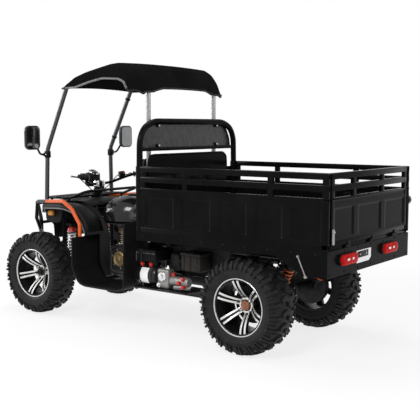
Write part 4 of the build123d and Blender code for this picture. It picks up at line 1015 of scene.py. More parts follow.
@dataclass(frozen=True)
class CargoBed:
    """Sides, headboard, floor and tail of the tipping bed, in pressed sheet and square rails.

    Args:
        rear_x: The tail's face.
        front_x: The headboard's face.
        half: Half the width outside.
        wall: Thickness of a side with its rails.
        post: Width of the corner posts.
        low_z: Lower edge of the sides.
        panel_z: Upper edge of the pressed panels.
        rail_z: Top of the upper rail.
        rail: Height of a rail.
        lower_rail_z: Top of the lower rail.
        floor_z: Top of the floor.
        post_x: Places of the posts between the corners.
        channels: Places of the flat strips between the pressings.
        channel: Width of such a strip.
        press: Depth of the pressings.
        inset: How far the posts stand behind the rails' faces.
        gate_channels: Places of the strips on the tailgate.
    """

    rear_x: float = -1.476
    front_x: float = 0.009
    half: float = 0.574
    wall: float = 0.025
    post: float = 0.04
    low_z: float = 0.7423
    panel_z: float = 1.043
    rail_z: float = 1.189
    rail: float = 0.038
    lower_rail_z: float = 1.119
    floor_z: float = 0.760
    post_x: tuple[float, ...] = (-1.078, -0.418)
    channels: tuple[float, ...] = (-0.355, -0.66, -0.94, -1.2)
    channel: float = 0.062
    press: float = 0.007
    inset: float = 0.0015
    gate_channels: tuple[float, ...] = (0.215, -0.165)

    def bays(self, edges: list[float], z: Span, groove: float = 0.004) -> Relief:
        """Return the relief of a row of sunken rectangles between channels, with a groove along the panel's top.

        Args:
            edges: Middles of the channels.
            z: Bottom and top of the rectangles.
            groove: The groove's depth.

        Returns:
            Function of places along the panel and heights.
        """
        ends = sorted(edges)
        spans = [(a + self.channel / 2, b - self.channel / 2) for a, b in zip(ends[:-1], ends[1:])]
        return lambda u, v: (-self.press * sum(bump_box(u, v, (span, z), 0.014) for span in spans)
                             - groove * bump_box(u, v, ((-9, 9), (1.005, 1.03)), 0.006))

    def rails(self, run: Span, wall: Span, posts: tuple[float, ...], low: float, along: str) -> list[Shell]:
        """Return two rails on posts, and the folds along the top and the bottom of the panel under them.

        Args:
            run: Where the rails start and end.
            wall: Their inner and outer face, either way round.
            posts: Places of the posts along the rails.
            low: The panel's lower edge.
            along: The direction that they follow, x or y.

        Returns:
            The shells.
        """
        gap = self.inset if wall[1] > wall[0] else -self.inset
        inset = (wall[0] + gap, wall[1] - gap)
        bars = [(run, wall, (top - self.rail, top), 0.004) for top in (self.rail_z, self.lower_rail_z)]
        bars += [((at - 0.02, at + 0.02), inset, (self.panel_z - 0.02, self.rail_z - 0.004), 0.004) for at in posts]
        bars += [(run, wall, (self.panel_z - 0.012, self.panel_z), 0.003), (run, wall, (low, low + 0.03), 0.003)]
        return [block(a, b, z, edge) if along == "x" else block(b, a, z, edge) for a, b, z, edge in bars]

    def side(self, side: int) -> None:
        """Build one side: a pressed panel under two rails on posts.

        Args:
            side: 1 on the left, -1 on the right.
        """
        name = "left" if side > 0 else "right"
        x0, x1 = self.rear_x, self.front_x - self.post - 0.0003
        u = np.unique(np.concatenate([np.linspace(x0, x1, 120), np.linspace(x0 + 0.02, x1 - 0.02, 130)]))
        v = np.linspace(self.low_z, self.panel_z, 60)
        relief = self.bays([x0 + 0.01, *self.channels, x1 - 0.01], (0.782, 0.988))
        panel = pressed(u, v, relief, self.wall * 0.3,
                        lambda p, q, r: np.stack([p, side * (self.half - 0.001 + r), q], -1))
        y = (side * (self.half - self.wall), side * self.half)
        posts = (x0 + self.post / 2, *self.post_x, x1 - self.post / 2)
        shells = [panel, *self.rails((x0, x1), y, posts, self.low_z, "x"),
                  block((x0, x0 + self.post), y, (self.low_z, self.panel_z), 0.004)]
        make(f"bed_{name}_sheet", shells, [BED_PAINT], "bed", (f"bed_side_{name}",), sharp=40)

    def gate(self) -> None:
        """Build the tailgate: a pressed panel under two rails, on hinge barrels."""
        half, x = self.half - self.post - 0.005, (self.rear_x, self.rear_x + self.wall)
        u, v = np.linspace(-half, half, 150), np.linspace(self.floor_z, self.panel_z, 56)
        relief = self.bays([-half + 0.005, *self.gate_channels, half - 0.005], (0.8, 0.985))
        shells = [pressed(u, v, relief, self.wall * 0.3,
                          lambda p, q, r: np.stack([self.rear_x + 0.001 - r, p, q], -1))]
        shells += self.rails((-half, half), x, (half - 0.02, 0.238, -0.16, -half + 0.02), self.floor_z, "y")
        shells += [block(x, (end * (half - 0.03), end * half), (self.floor_z, self.panel_z), 0.004) for end in SIDES]
        barrel = [(-0.032, 0.001), (-0.032, 0.009), (-0.0003, 0.009), (-0.0003, 0.001)]
        leaf = (self.rear_x - 0.003, self.rear_x + 0.01)
        for at in (-0.33, 0.0, 0.33):
            shells += [lathe(barrel, (self.rear_x - 0.002, at, 0.745), turns=20),
                       block(leaf, (at - 0.032, at - 0.0003), (0.747, 0.774), 0.002)]
        make("tailgate_sheet", shells, [BED_PAINT], "tailgate", ("tailgate",), sharp=40)
        bar = block((self.rear_x - 0.012, self.rear_x - 0.001), (0.508, 0.526), (0.769, 0.862), 0.004)
        head = bolts([(self.rear_x - 0.012, 0.517, 0.845)], (-1, 0, 0), 0.007, 0.005, 1)
        make("tailgate_latch", [bar, *head], [LATCH_GREY, ZINC], "tailgate")

    def headboard(self) -> None:
        """Build the headboard: a pressed board and its round-topped upper sheet between posts, under a hoop."""
        x = (self.front_x - self.post, self.front_x)
        inner = self.half - self.post
        shells = [block(x, (side * inner, side * self.half), (self.low_z, self.rail_z), 0.004) for side in SIDES]
        shells.append(block(x, (-inner, inner), (self.low_z, self.floor_z), 0.002))
        u, v = np.linspace(-inner, inner, 120), np.linspace(self.floor_z, 1.149, 50)
        relief = self.bays([-inner + 0.01, -0.18, 0.18, inner - 0.01], (0.8, 1.11), 0.0)
        shells.append(pressed(u, v, relief, 0.008, lambda p, q, r: np.stack([self.front_x - 0.002 + r, p, q], -1)))
        t = np.linspace(0, 1, 40)
        top = np.array([(0.46, 1.12), (0.46, 1.2), (0.452, 1.235), (0.425, 1.256), (0.39, 1.262)])
        edge = np.stack([np.interp(t, np.linspace(0, 1, 5), top[:, k]) for k in (0, 1)], -1)
        outline = np.concatenate([edge, edge[::-1] * np.array([-1, 1])])
        shells.append(plate(outline, self.front_x - 0.02, self.front_x - 0.011, "x"))
        shells.append(tube([(self.front_x - 0.016, y, z) for y, z in outline[::6]], 0.008, 0.03, 10))
        leg = [(0.554, 1.189), (0.550, 1.37), (0.505, 1.45), (0.405, 1.493)]
        hoop_x = self.front_x - 0.02
        route = [(hoop_x, y, z) for y, z in leg] + [(hoop_x, -y, z) for y, z in leg[::-1]]
        shells.append(tube(route, 0.0215, 0.15, 20, (1, 0, 0)))
        shells.append(tube([(hoop_x, -0.552, 1.3), (hoop_x, 0.552, 1.3)], 0.012, sides=12, up=(1, 0, 0)))
        make("headboard_sheet", shells, [BED_PAINT], "bed", ("headboard",), sharp=40)
        spots = np.array([(self.front_x - 0.001, y, z) for y in (0.34, -0.34) for z in (1.325, 1.465)])
        clamps = [block((self.front_x - 0.012, self.front_x - 0.0002), (y - 0.012, y + 0.012), (z - 0.012, z + 0.012))
                  for _, y, z in spots]
        heads = bolts(spots - np.array([0.012, 0, 0]), (-1, 0, 0), 0.009, 0.006, 1)
        make("guard_panel_clamps", clamps + heads, [TUBE_PAINT, ZINC], "bed")

    def floor(self) -> None:
        """Build the floor: a sheet with low ribs along the bed."""
        u, v = np.linspace(self.rear_x + 0.031, self.front_x - 0.0405, 40), np.linspace(-0.5485, 0.5485, 240)
        ends = ((u[0] + 0.03, u[-1] - 0.03), (-0.52, 0.52))
        sheet = pressed(u, v, lambda a, b: 0.0006 + bump_box(a, b, ends, 0.02) * 0.005
                        * np.clip(np.cos(b * 2 * pi / 0.0915) * 3 - 1.4, 0, 1), 0.003,
                        lambda p, q, r: np.stack([p, q, self.floor_z + r], -1))
        sill = block((self.rear_x + 0.01, self.rear_x + 0.03), (-0.528, 0.528), (0.69, self.floor_z - 0.003), 0.002)
        make("bed_floor_sheet", [sheet, sill], [BED_PAINT], "bed", sharp=50)

    def tail(self) -> None:
        """Build what the tail skirt carries: lamps with ribbed lenses, a blank plate on its bracket and bolts."""
        x = self.rear_x - 0.0003
        lens = loop([(0, 0.034), (-0.092, 0.034), (-0.114, 0), (-0.092, -0.034), (0.092, -0.034), (0.114, 0),
                     (0.092, 0.034)], 0.012, 5)
        lamps = []
        for y in (0.335, -0.245):
            middle = (x, y, 0.667)
            lamps += [stack(lens, [(0, 1.0), (-0.012, 1.0), (-0.014, 0.97)], middle, "x", 1),
                      stack(lens * 0.94, [(-0.008, 1.0), (-0.024, 1.0), (-0.029, 0.96), (-0.031, 0.88)], middle, "x")]
            lamps += [block((x - 0.0325, x - 0.02), (y + rib - 0.002, y + rib + 0.002), (0.645, 0.689), 0.0018)
                      for rib in np.linspace(-0.07, 0.07, 8)]
            lamps += [block((x - 0.0335, x - 0.02), (y + spot - half, y + spot + half), (0.66, 0.676), 0.004, slot=2)
                      for spot, half in ((0.03, 0.017), (-0.03, 0.012))]
        make("tail_lamp_lenses", lamps, [LENS_RED, RIM_BLACK, LENS_CLEAR], "bed", ("tail_lamps",))
        board = [(0.206, 0.697), (0.01, 0.697), (0.01, 0.64), (0.04, 0.62), (0.206, 0.62)]
        shells = [plate(board, x - 0.003, x, "x"),
                  block((x - 0.006, x - 0.003), (0.05, 0.196), (0.652, 0.691), 0.002, slot=1)]
        shells += bolts([(x - 0.006, 0.085, 0.672), (x - 0.006, 0.165, 0.672)], (-1, 0, 0), 0.006, 0.004, 2)
        make("plate_board", shells, [PLATE_WHITE, RIM_BLACK, ZINC], "bed", ("plate_holder",))
        spots = np.array([(self.rear_x, y, z) for y in np.linspace(-0.54, 0.54, 7) for z in (0.592, 0.718)])
        make("tail_bolts", bolts(spots, (-1, 0, 0), 0.006, 0.004), [TUBE_PAINT], "bed")
        knob = lathe([(0.0, 0.03), (0.03, 0.032), (0.044, 0.026), (0.05, 0.012), (0.05, 0.001)],
                     (-1.45, -self.half, 0.955), (0, -1, 0), 24)
        arm = block((-1.462, -1.438), (-self.half - 0.03, -self.half), (0.83, 0.95), 0.006, slot=1)
        y = self.half + 0.007
        lever = [tube([(-1.282, y, 0.692), (-1.336, y, 0.575)], 0.0042, up=(0, 1, 0), slot=2),
                 lathe([(-0.006, 0.001), (-0.006, 0.009), (0.006, 0.009), (0.006, 0.001)], (-1.336, y, 0.575),
                       (0, 1, 0), 24, slot=2)]
        lever += bolts([(-1.282, self.half, 0.692)], (0, 1, 0), 0.009, 0.013, 2)
        make("corner_latch", [knob, arm, *lever], [RIM_BLACK, LATCH_GREY, CAST_ALLOY], "bed")

    def beam_ties(self) -> None:
        """Build the bolts along the beams under the sides."""
        shells: list[Shell] = []
        for side in SIDES:
            spots = np.array([(x, side * self.half, 0.712) for x in np.linspace(-1.4, -0.06, 9)])
            shells += bolts(spots, (0, side, 0), 0.007, 0.004)
        make("beam_bolts", shells, [TUBE_PAINT], "bed")

    def build(self) -> None:
        """Build the bed's pieces."""
        for side in SIDES:
            self.side(side)
        self.gate()
        self.headboard()
        self.floor()
        self.tail()
        self.beam_ties()


# Canopy


@dataclass(frozen=True)
class Canopy:
    """The moulded roof: one shell with a high rear, a falling front and arched sides.

    Args:
        ridge: Places forward and heights of the top along the middle.
        hem: Places forward and heights of the lower edge of the sides.
        width: Places forward and half widths of the top's edge.
        flare: How far the sides lean out to the hem.
        corner: Radius of the edge between the top and the sides.
        thick: Wall thickness.
    """

    ridge: tuple[Span, ...] = ((0.04, 1.726), (0.08, 1.79), (0.14, 1.872), (0.195, 1.906), (0.29, 1.917),
                               (0.37, 1.913), (0.5, 1.894), (0.656, 1.869), (0.79, 1.838), (0.87, 1.79), (0.92, 1.762))
    hem: tuple[Span, ...] = ((0.04, 1.704), (0.125, 1.704), (0.14, 1.714), (0.171, 1.766), (0.227, 1.789),
                             (0.405, 1.8), (0.555, 1.78), (0.734, 1.746), (0.92, 1.744))
    width: tuple[Span, ...] = ((0.04, 0.42), (0.06, 0.462), (0.1, 0.488), (0.225, 0.478), (0.6, 0.43), (0.79, 0.4),
                               (0.85, 0.4), (0.88, 0.39), (0.92, 0.36))
    flare: float = 0.024
    corner: float = 0.04
    thick: float = 0.009

    def line(self, points: tuple[Span, ...], x: np.ndarray) -> np.ndarray:
        """Return a line through points with softened corners: straight runs, averaged with their neighbours.

        Args:
            points: Places forward and values.
            x: Where it is read.

        Returns:
            The values there.
        """
        fine = np.linspace(points[0][0], points[-1][0], 400)
        value = np.interp(fine, *np.array(points).T)
        kernel = np.hanning(15) / np.hanning(15).sum()
        smooth = np.convolve(np.pad(value, 7, "edge"), kernel, "valid")
        return np.interp(x, fine, smooth)

    def half_section(self, x: np.ndarray) -> tuple[np.ndarray, np.ndarray]:
        """Return one half of each section: the crowned top, a round corner and a side that leans out to the hem.

        Args:
            x: Places forward.

        Returns:
            Half widths and heights, a row for each place.
        """
        top, low, wide = (self.line(k, x)[:, None] for k in (self.ridge, self.hem, self.width))
        radius = np.minimum(self.corner, 0.6 * (top - low))
        flat = np.linspace(0, 1, 16)[None]
        turn = np.linspace(0, pi / 2, 9)[None, 1:]
        drop = np.linspace(0, 1, 11)[None, 1:]
        y = np.concatenate([flat * (wide - radius), wide - radius + radius * np.sin(turn), wide + 0 * drop], 1)
        z = np.concatenate([top + 0 * flat, top - radius + radius * np.cos(turn),
                            top - radius - drop * (top - radius - low)], 1)
        z = z - 0.012 * (y / wide) ** 2 * np.clip((z - low) / (top - low + 1e-6), 0, 1)
        return y + self.flare * np.clip((top - z) / (top - low + 1e-6), 0, 1) ** 1.5, z

    def build(self) -> None:
        """Build the roof from its two half sections, with a bead along its hem."""
        x = np.concatenate([np.linspace(0.04, 0.24, 40), np.linspace(0.24, 0.92, 60)[1:]])
        y, z = self.half_section(x)
        rear = (1 - step_up(x, 0.045, 0.11))[:, None]
        z = z - 0.022 * rear * step_up(y, 0.26, 0.34) * (1 - step_up(y, 0.44, 0.5))
        y = np.concatenate([-y[:, :0:-1], y], 1)
        z = np.concatenate([z[:, :0:-1], z], 1)
        points = points_of(x[:, None], y, z)
        roof = make("roof_shell", [surface(points)], [ROOF_MOULDING], "chassis", ("roof",), sharp=60)
        thicken(roof, self.thick)
        hem = np.concatenate([points[:, 0], points[-1, 1:-1], points[::-1, -1], points[0, -2:0:-1]])
        bead = sweep(hem[::2], rounded(0.015, 0.011, 0.005), (0.02, 0.03, 1), wrap=True)
        sides = points[(x > 0.14) & (x < 0.85)]
        # The side lips over the arches take the grey finish: a painted highlight along the lip.
        lips = [sweep(sides[:, k], rounded(0.018, 0.014, 0.006), (0.02, 0.03, 1), slot=1) for k in (0, -1)]
        make("roof_bead", [bead, *lips], [ROOF_LIP, LIP_HIGHLIGHT], "chassis", sharp=50)


# Cab front


@dataclass(frozen=True)
class FrontBody:
    """Deck, wheel arches, fascia, tank cover and footwells of the cab's front.

    Args:
        axle_x: The front axle's place.
        arch: The arch's outside, from the nose back over the wheel: forward of the axle and height.
        inner: Half width of the deck between the arches.
        outer: Half width over the arches.
    """

    axle_x: float = 1.145
    arch: tuple[Span, ...] = ((0.10, 0.775), (0.095, 0.842), (-0.276, 0.872), (-0.417, 0.837), (-0.501, 0.766),
                              (-0.541, 0.672))
    inner: float = 0.262
    outer: float = 0.452

    def arch_line(self) -> np.ndarray:
        """Return the arch's smooth outside line as places forward and heights."""
        route = smooth_path([(self.axle_x + x, 0, z) for x, z in self.arch], 0.09, 9)
        return route[:, [0, 2]]

    def arches(self) -> None:
        """Build both arches: the outside line carried across, rounded down into a lip at the outer edge."""
        line = self.arch_line()
        run = unit(np.gradient(line, axis=0))
        out = np.stack([run[:, 1], -run[:, 0]], -1)
        across = np.array([0, 0.25, 0.5, 0.7, 0.82, 0.9, 0.95, 0.98, 1.0, 1.0, 1.0])
        lift = np.array([-0.02, 0.0, 0.006, 0.008, 0.007, 0.004, 0.0, -0.006, -0.014, -0.024, -0.034])
        outer = np.interp(line[:, 0], (0.9, 1.06, 1.25), (self.outer, 0.41, 0.325))[:, None]
        y = self.inner + (outer - self.inner) * across
        spot = line[:, None] + out[:, None] * lift[None, :, None]
        points = np.stack([spot[..., 0], y, spot[..., 1]], -1)
        body = make("front_arches", both([surface(points)]), [MATT_MOULDING], nodes=("front_body",), sharp=60)
        thicken(body, 0.005)
        # The lip takes the grey finish: a painted highlight along the arch's edge.
        lip = sweep(points[:, -1], circle(0.006, 8), (0, 1, 0))
        make("arch_lips", both([lip]), [LIP_HIGHLIGHT], sharp=60)
        cheek = loop([(1.1, 0.84), (1.05, 0.84), (1.075, 0.71), (1.12, 0.69), (1.25, 0.7), (1.255, 0.78),
                      (1.236, 0.84)], 0.03)
        side = loop([(0.8, 0.862), (0.7, 0.81), (0.64, 0.74), (0.6, 0.66), (0.59, 0.62), (0.59, 0.315),
                     (0.785, 0.315), (0.825, 0.6), (0.93, 0.8), (0.93, 0.87)], 0.04)
        panels = [plate(cheek, 0.27, 0.281, "y"), plate(side, self.inner - 0.034, self.inner - 0.026, "y")]
        make("front_cheeks", both(panels), [MATT_MOULDING], bevel=0.003)

    def deck(self) -> None:
        """Build the deck and the fascia: one line from the chin up over the nose, with a crown across."""
        corners = ((0.125, 0.548), (0.115, 0.7), (0.097, 0.848), (-0.276, 0.884), (-0.398, 0.85))
        route = smooth_path([(self.axle_x + x, 0, z) for x, z in corners], 0.05, 9)
        share = np.linspace(-1, 1, 41)[None]
        half = np.interp(route[:, 2], [0.548, 0.66, 0.72, 0.85], [0.175, 0.19, 0.262, 0.262])[:, None]
        half = np.where(route[:, :1] < self.axle_x + 0.08, self.inner, half)
        y = share * half
        crown = 0.012 * (1 - share ** 2) - 0.01 * np.exp(-((np.abs(share) - 0.55) / 0.05) ** 2)
        up = np.where(route[:, :1] < self.axle_x + 0.085, 1.0, 0.0)
        points = points_of(route[:, :1] + crown * (1 - up), y, route[:, 2:] + crown * up)
        deck = make("front_deck", [surface(points)], [MATT_MOULDING], sharp=50)
        thicken(deck, 0.005)
        bars = [block((self.axle_x + 0.118, self.axle_x + 0.136), (-0.13, 0.13), (z, z + 0.012), 0.004)
                for z in (0.59, 0.615, 0.64, 0.665)]
        make("fascia_bars", bars, [TUBE_PAINT])

    def lamps(self) -> None:
        """Build the headlamps with their bezels and the amber side lamps."""
        shells: list[Shell] = []
        face = self.axle_x + 0.1165
        for side in SIDES:
            for size, depth, slot in (((0.136, 0.086), (-0.012, 0.008), 1), ((0.118, 0.068), (0.0, 0.02), 0)):
                profile = rounded(*size, 0.026, 6) + np.array([side * 0.185, 0.77])
                shells.append(plate(profile, face + depth[0], face + depth[1], "x", slot))
            shells.append(block((self.axle_x - 0.005, self.axle_x + 0.055), (side * 0.2805, side * 0.312),
                                (0.75, 0.794), 0.012, 4, 2))
        make("front_lamp_lenses", shells, [LENS_CLEAR, RIM_BLACK, LENS_AMBER], "chassis",
             ("front_lamps",), bevel=0.003)

    def tank(self) -> None:
        """Build the tank cover: squarish ovals along the quad that swell towards the front, with a cap."""
        t = np.linspace(0, 1, 34)
        x = 0.405 + 0.328 * t
        ends = np.sqrt(np.clip(1 - (2 * t - 1) ** 6, 0, 1))
        half = (0.14 + 0.065 * step_up(t, 0.0, 0.55)) * (0.55 + 0.45 * ends)
        top = 0.735 + (0.135 + 0.056 * np.sin(pi * np.clip(t * 0.8 + 0.12, 0, 1))) * (0.35 + 0.65 * ends)
        turn = np.linspace(-pi / 2, pi / 2, 41)[None]
        share = np.abs(np.cos(turn)) ** 0.85
        y = np.sign(turn) * np.abs(np.sin(turn)) ** 0.72 * half[:, None]
        z = 0.735 + (top[:, None] - 0.735) * share
        shell = surface(points_of(x[:, None], y, z), False, True, True)
        make("tank_shell", [shell], [GLOSS_MOULDING], "chassis", ("tank_cover",), sharp=50)
        cap = [(0, 0.042), (0.012, 0.042), (0.02, 0.036), (0.022, 0.012), (0.024, 0.001)]
        make("tank_cap", [lathe(cap, (0.56, 0, 0.915), (0, 0, 1), 40)], [RIM_BLACK], "chassis")

    def footwells(self) -> None:
        """Build both footwells: a line from wall to wall over the floor, carried outward, with a rim and bars."""
        line = [(0.661, 0, 0.6395), (0.669, 0, 0.41), (0.602, 0, 0.312), (0.545, 0, 0.294), (0.2, 0, 0.294),
                (0.152, 0, 0.318), (0.14, 0, 0.78)]
        route = smooth_path(line, 0.05, 8)
        y = np.linspace(0.2706, 0.55, 12)
        points = points_of(route[:, None, 0], y, route[:, None, 2])
        bars = [block((x - 0.006, x + 0.006), (0.3, 0.52), (0.293, 0.301), 0.003) for x in np.linspace(0.23, 0.53, 8)]
        left = [surface(points), sweep(points[:, -1], rounded(0.014, 0.02, 0.006), (0, 1, 0)), *bars]
        for name, (floor, *trim) in (("left", left), ("right", [shell.mirrored() for shell in left])):
            tub = make(f"footwell_{name}_tub", [floor], [MATT_MOULDING], nodes=(f"footwell_{name}",), sharp=60)
            thicken(tub, 0.006, 0)
            make(f"footwell_{name}_rim", trim, [MATT_MOULDING])

    def build(self) -> None:
        """Build the cab's front."""
        self.arches()
        self.deck()
        self.lamps()
        self.tank()
        self.footwells()


# Running gear


def coil(foot: np.ndarray, head: np.ndarray, radius: float, wire: float, turns: float, slot: int = 0) -> Shell:
    """Return a coil spring: a point that goes round the line from foot to head while it climbs.

    Args:
        foot: Lower end.
        head: Upper end.
        radius: Of the coil's middle line.
        wire: Radius of the wire.
        turns: How often it goes round.
        slot: Which finish it takes.

    Returns:
        The shell.
    """
    main = unit(head - foot)
    side = unit(np.cross(main, [0.1, 1, 0.05]))
    other = np.cross(main, side)
    t = np.linspace(0, 1, int(turns * 20))[:, None]
    turn = t * turns * 2 * pi
    path = foot + t * (head - foot) + radius * (np.cos(turn) * side + np.sin(turn) * other)
    return sweep(path, circle(wire, 8), tuple(main), slot=slot)


@dataclass(frozen=True)
class Struts:
    """A pair of spring struts: damper, coil, cap and collar.

    Args:
        name: Plain name.
        node: The solid that they stand for.
        foot: Lower eye on the left.
        head: Upper eye on the left.
        share: Where the coil starts and ends along the strut.
        finishes: Coil, damper, cap and collar.
        slot: Not used.
        turns: Turns of the coil.
    """

    name: str
    node: str
    foot: Point
    head: Point
    share: Span
    finishes: tuple[Finish, Finish, Finish, Finish]
    slot: str
    turns: float = 9.0

    def build(self) -> None:
        """Build both struts."""
        foot, head = np.array(self.foot), np.array(self.head)
        rise = head - foot
        low, high = foot + rise * self.share[0], foot + rise * self.share[1]
        length = float(np.linalg.norm(rise))
        axis = tuple(rise / length)
        at = [length * s for s in self.share]
        body = [(0, 0.001), (0, 0.014), (at[0] - 0.02, 0.014), (at[0], 0.022), (at[0] + 0.13, 0.022),
                (at[0] + 0.14, 0.012), (length, 0.012), (length, 0.001)]
        cap = [(at[1] - 0.004, 0.001), (at[1] - 0.004, 0.038), (at[1] + 0.012, 0.036), (length - 0.004, 0.022),
               (length - 0.004, 0.001)]
        collar = [(at[0] - 0.022, 0.001), (at[0] - 0.022, 0.03), (at[0] - 0.004, 0.038), (at[0] + 0.002, 0.038),
                  (at[0] + 0.002, 0.001)]
        left = [coil(low, high, 0.031, 0.0062, self.turns), lathe(body, self.foot, axis, 24, slot=1),
                lathe(cap, self.foot, axis, 32, slot=2), lathe(collar, self.foot, axis, 32, slot=3)]
        make(self.name, both(left), list(self.finishes), "chassis", (self.node,))


@dataclass(frozen=True)
class Engine:
    """A single cylinder engine: case, finned barrel and head, round covers with bolts, and a carburettor.

    Args:
        x: The case's rear and front.
        z: The case's bottom and top.
        half: Half its width.
        cover: Place of the covers, forward and up.
    """

    x: Span = (0.34, 0.68)
    z: Span = (0.2963, 0.54)
    half: float = 0.18
    cover: Span = (0.52, 0.45)

    def build(self) -> None:
        """Build the engine."""
        x0, x1 = self.x
        case = [block(self.x, (-0.15, 0.15), self.z, 0.03, 5),
                block((x0 + 0.02, x1 - 0.03), (-self.half, self.half), (self.z[0] + 0.03, self.z[1] - 0.02), 0.04, 5),
                block((x0 + 0.12, x0 + 0.26), (-0.07, 0.07), (0.53, 0.69), 0.01, slot=1)]
        for step in range(9):
            low = 0.548 + step * 0.0145
            grow = 0.01 if step > 5 else 0.0
            case.append(block((x0 + 0.105 - grow, x0 + 0.275 + grow), (-0.09 - grow, 0.09 + grow), (low, low + 0.005),
                              0.002, slot=1))
        dish = [(-0.01, 0.084), (0.018, 0.084), (0.024, 0.078), (0.026, 0.062), (0.024, 0.06), (0.02, 0.06),
                (0.02, 0.001)]
        face = [(0.015, 0.058), (0.03, 0.058), (0.034, 0.054), (0.035, 0.046), (0.031, 0.04), (0.031, 0.026),
                (0.038, 0.022), (0.041, 0.012), (0.041, 0.001)]
        turn = np.arange(6) * pi / 3 + 0.3
        covers: list[Shell] = []
        for side in SIDES:
            spot, out = (self.cover[0], side * self.half, self.cover[1]), (0, side, 0)
            ring = points_of(spot[0] + 0.07 * np.cos(turn), spot[1] + side * 0.025, spot[2] + 0.07 * np.sin(turn))
            covers += [lathe(dish, spot, out, 56), lathe(face, spot, out, 56, slot=1),
                       *bolts(ring, out, 0.0065, 0.006, 2)]
        intake = tube([(0.47, 0.06, 0.66), (0.42, 0.13, 0.665), (0.36, 0.14, 0.66)], 0.019, 0.04, slot=3)
        bowl = lathe([(0, 0.001), (0, 0.026), (0.05, 0.03), (0.075, 0.022), (0.08, 0.001)], (0.41, 0.13, 0.615),
                     (0, 0, 1), 28)
        ports = [block((0.475, 0.535), (side * 0.07, side * 0.13), (0.565, 0.65), 0.014, 4, 1) for side in SIDES]
        make("engine_case", case + covers + ports + [intake, bowl], [CASE_DARK, COVER_BRONZE, ZINC, RIM_BLACK],
             "chassis", ("engine",), sharp=35)


@dataclass(frozen=True)
class PowerPack:
    """The hydraulic pack on the left: tray, motor with a blank label, pump, valve block with red caps.

    Args:
        y: The motor's axis to the left.
        z: The motor's axis upward.
        radius: The motor's radius.
    """

    y: float = 0.425
    z: float = 0.42
    radius: float = 0.07

    def build(self) -> None:
        """Build the pack."""
        r = self.radius
        motor = [(-0.079, 0.001), (-0.079, r - 0.02), (-0.074, r - 0.006), (-0.062, r), (0.096, r), (0.107, r - 0.006),
                 (0.113, r - 0.02), (0.114, 0.001)]
        rings = [[(a, r - 0.0005), (a, r + 0.002), (a + 0.006, r + 0.002), (a + 0.006, r - 0.0005)]
                 for a in (-0.06, 0.088)]
        turn = np.radians(np.linspace(-48, 50, 25))
        wrap = points_of(0.012, self.y + (r + 0.0004) * np.cos(turn), self.z + (r + 0.0004) * np.sin(turn))
        boss = np.array([(-0.02, 0.001), (-0.02, 0.034), (0.006, 0.034), (0.01, 0.03), (0.011, 0.018), (0.022, 0.016),
                         (0.024, 0.012), (0.024, 0.001)])
        pump = [(0, 0.001), (0, 0.028), (0.01, 0.034), (0.06, 0.034), (0.066, 0.03), (0.09, 0.03), (0.096, 0.034),
                (0.15, 0.034), (0.159, 0.026), (0.159, 0.001)]
        nut = [(-0.01, 0.001), (-0.01, 0.014), (0.012, 0.014), (0.02, 0.012), (0.024, 0.001)]
        centre = (0.0, self.y, self.z)
        along, left, up, slant = (1, 0, 0), (0, 1, 0), (0, 0, 1), (0, 0.5, 0.8)
        shells = [lathe(motor, centre, along, 48), sweep(wrap, rounded(0.0014, 0.07, 0.0005), along, slot=2),
                  *[lathe(ring, centre, along, 48, True, 3) for ring in rings],
                  block((-0.361, 0.109), (STEEL_FACE, 0.495), (0.328, 0.338), 0.002),
                  block((-0.341, 0.099), (STEEL_FACE, STEEL_FACE + 0.01), (0.28, 0.336), 0.002),
                  block((0.029, 0.049), (0.375, 0.475), (0.336, 0.42), 0.003),
                  block((-0.182, -0.079), (0.387, 0.463), (0.338, 0.478), 0.018, 5, 1),
                  lathe(boss, (-0.13, 0.463, 0.425), left, 36, slot=5),
                  lathe(boss * np.array([1, 0.55]), (-0.105, 0.463, 0.365), left, 28, slot=5),
                  lathe(boss * np.array([1, 0.6]), (-0.155, 0.425, 0.478), up, 28, slot=5),
                  lathe(pump, (-0.341, self.y, 0.398), along, 36, slot=1)]
        for spot, out in (((-0.31, 0.455, 0.42), (0, 1, 0.5)), ((-0.28, 0.459, 0.395), left),
                          ((-0.315, 0.455, 0.37), left), ((-0.2, 0.425, 0.432), up),
                          ((0.06, 0.45, 0.49), slant), ((-0.02, 0.45, 0.49), slant)):
            shells.append(lathe(nut, spot, out, 12, slot=4))
        make("power_pack_set", shells, [GLOSS_MOULDING, CAST_ALLOY, PLATE_WHITE, TUBE_PAINT, SIGNAL_RED, CHROME],
             "chassis", ("power_pack",))


# Seat


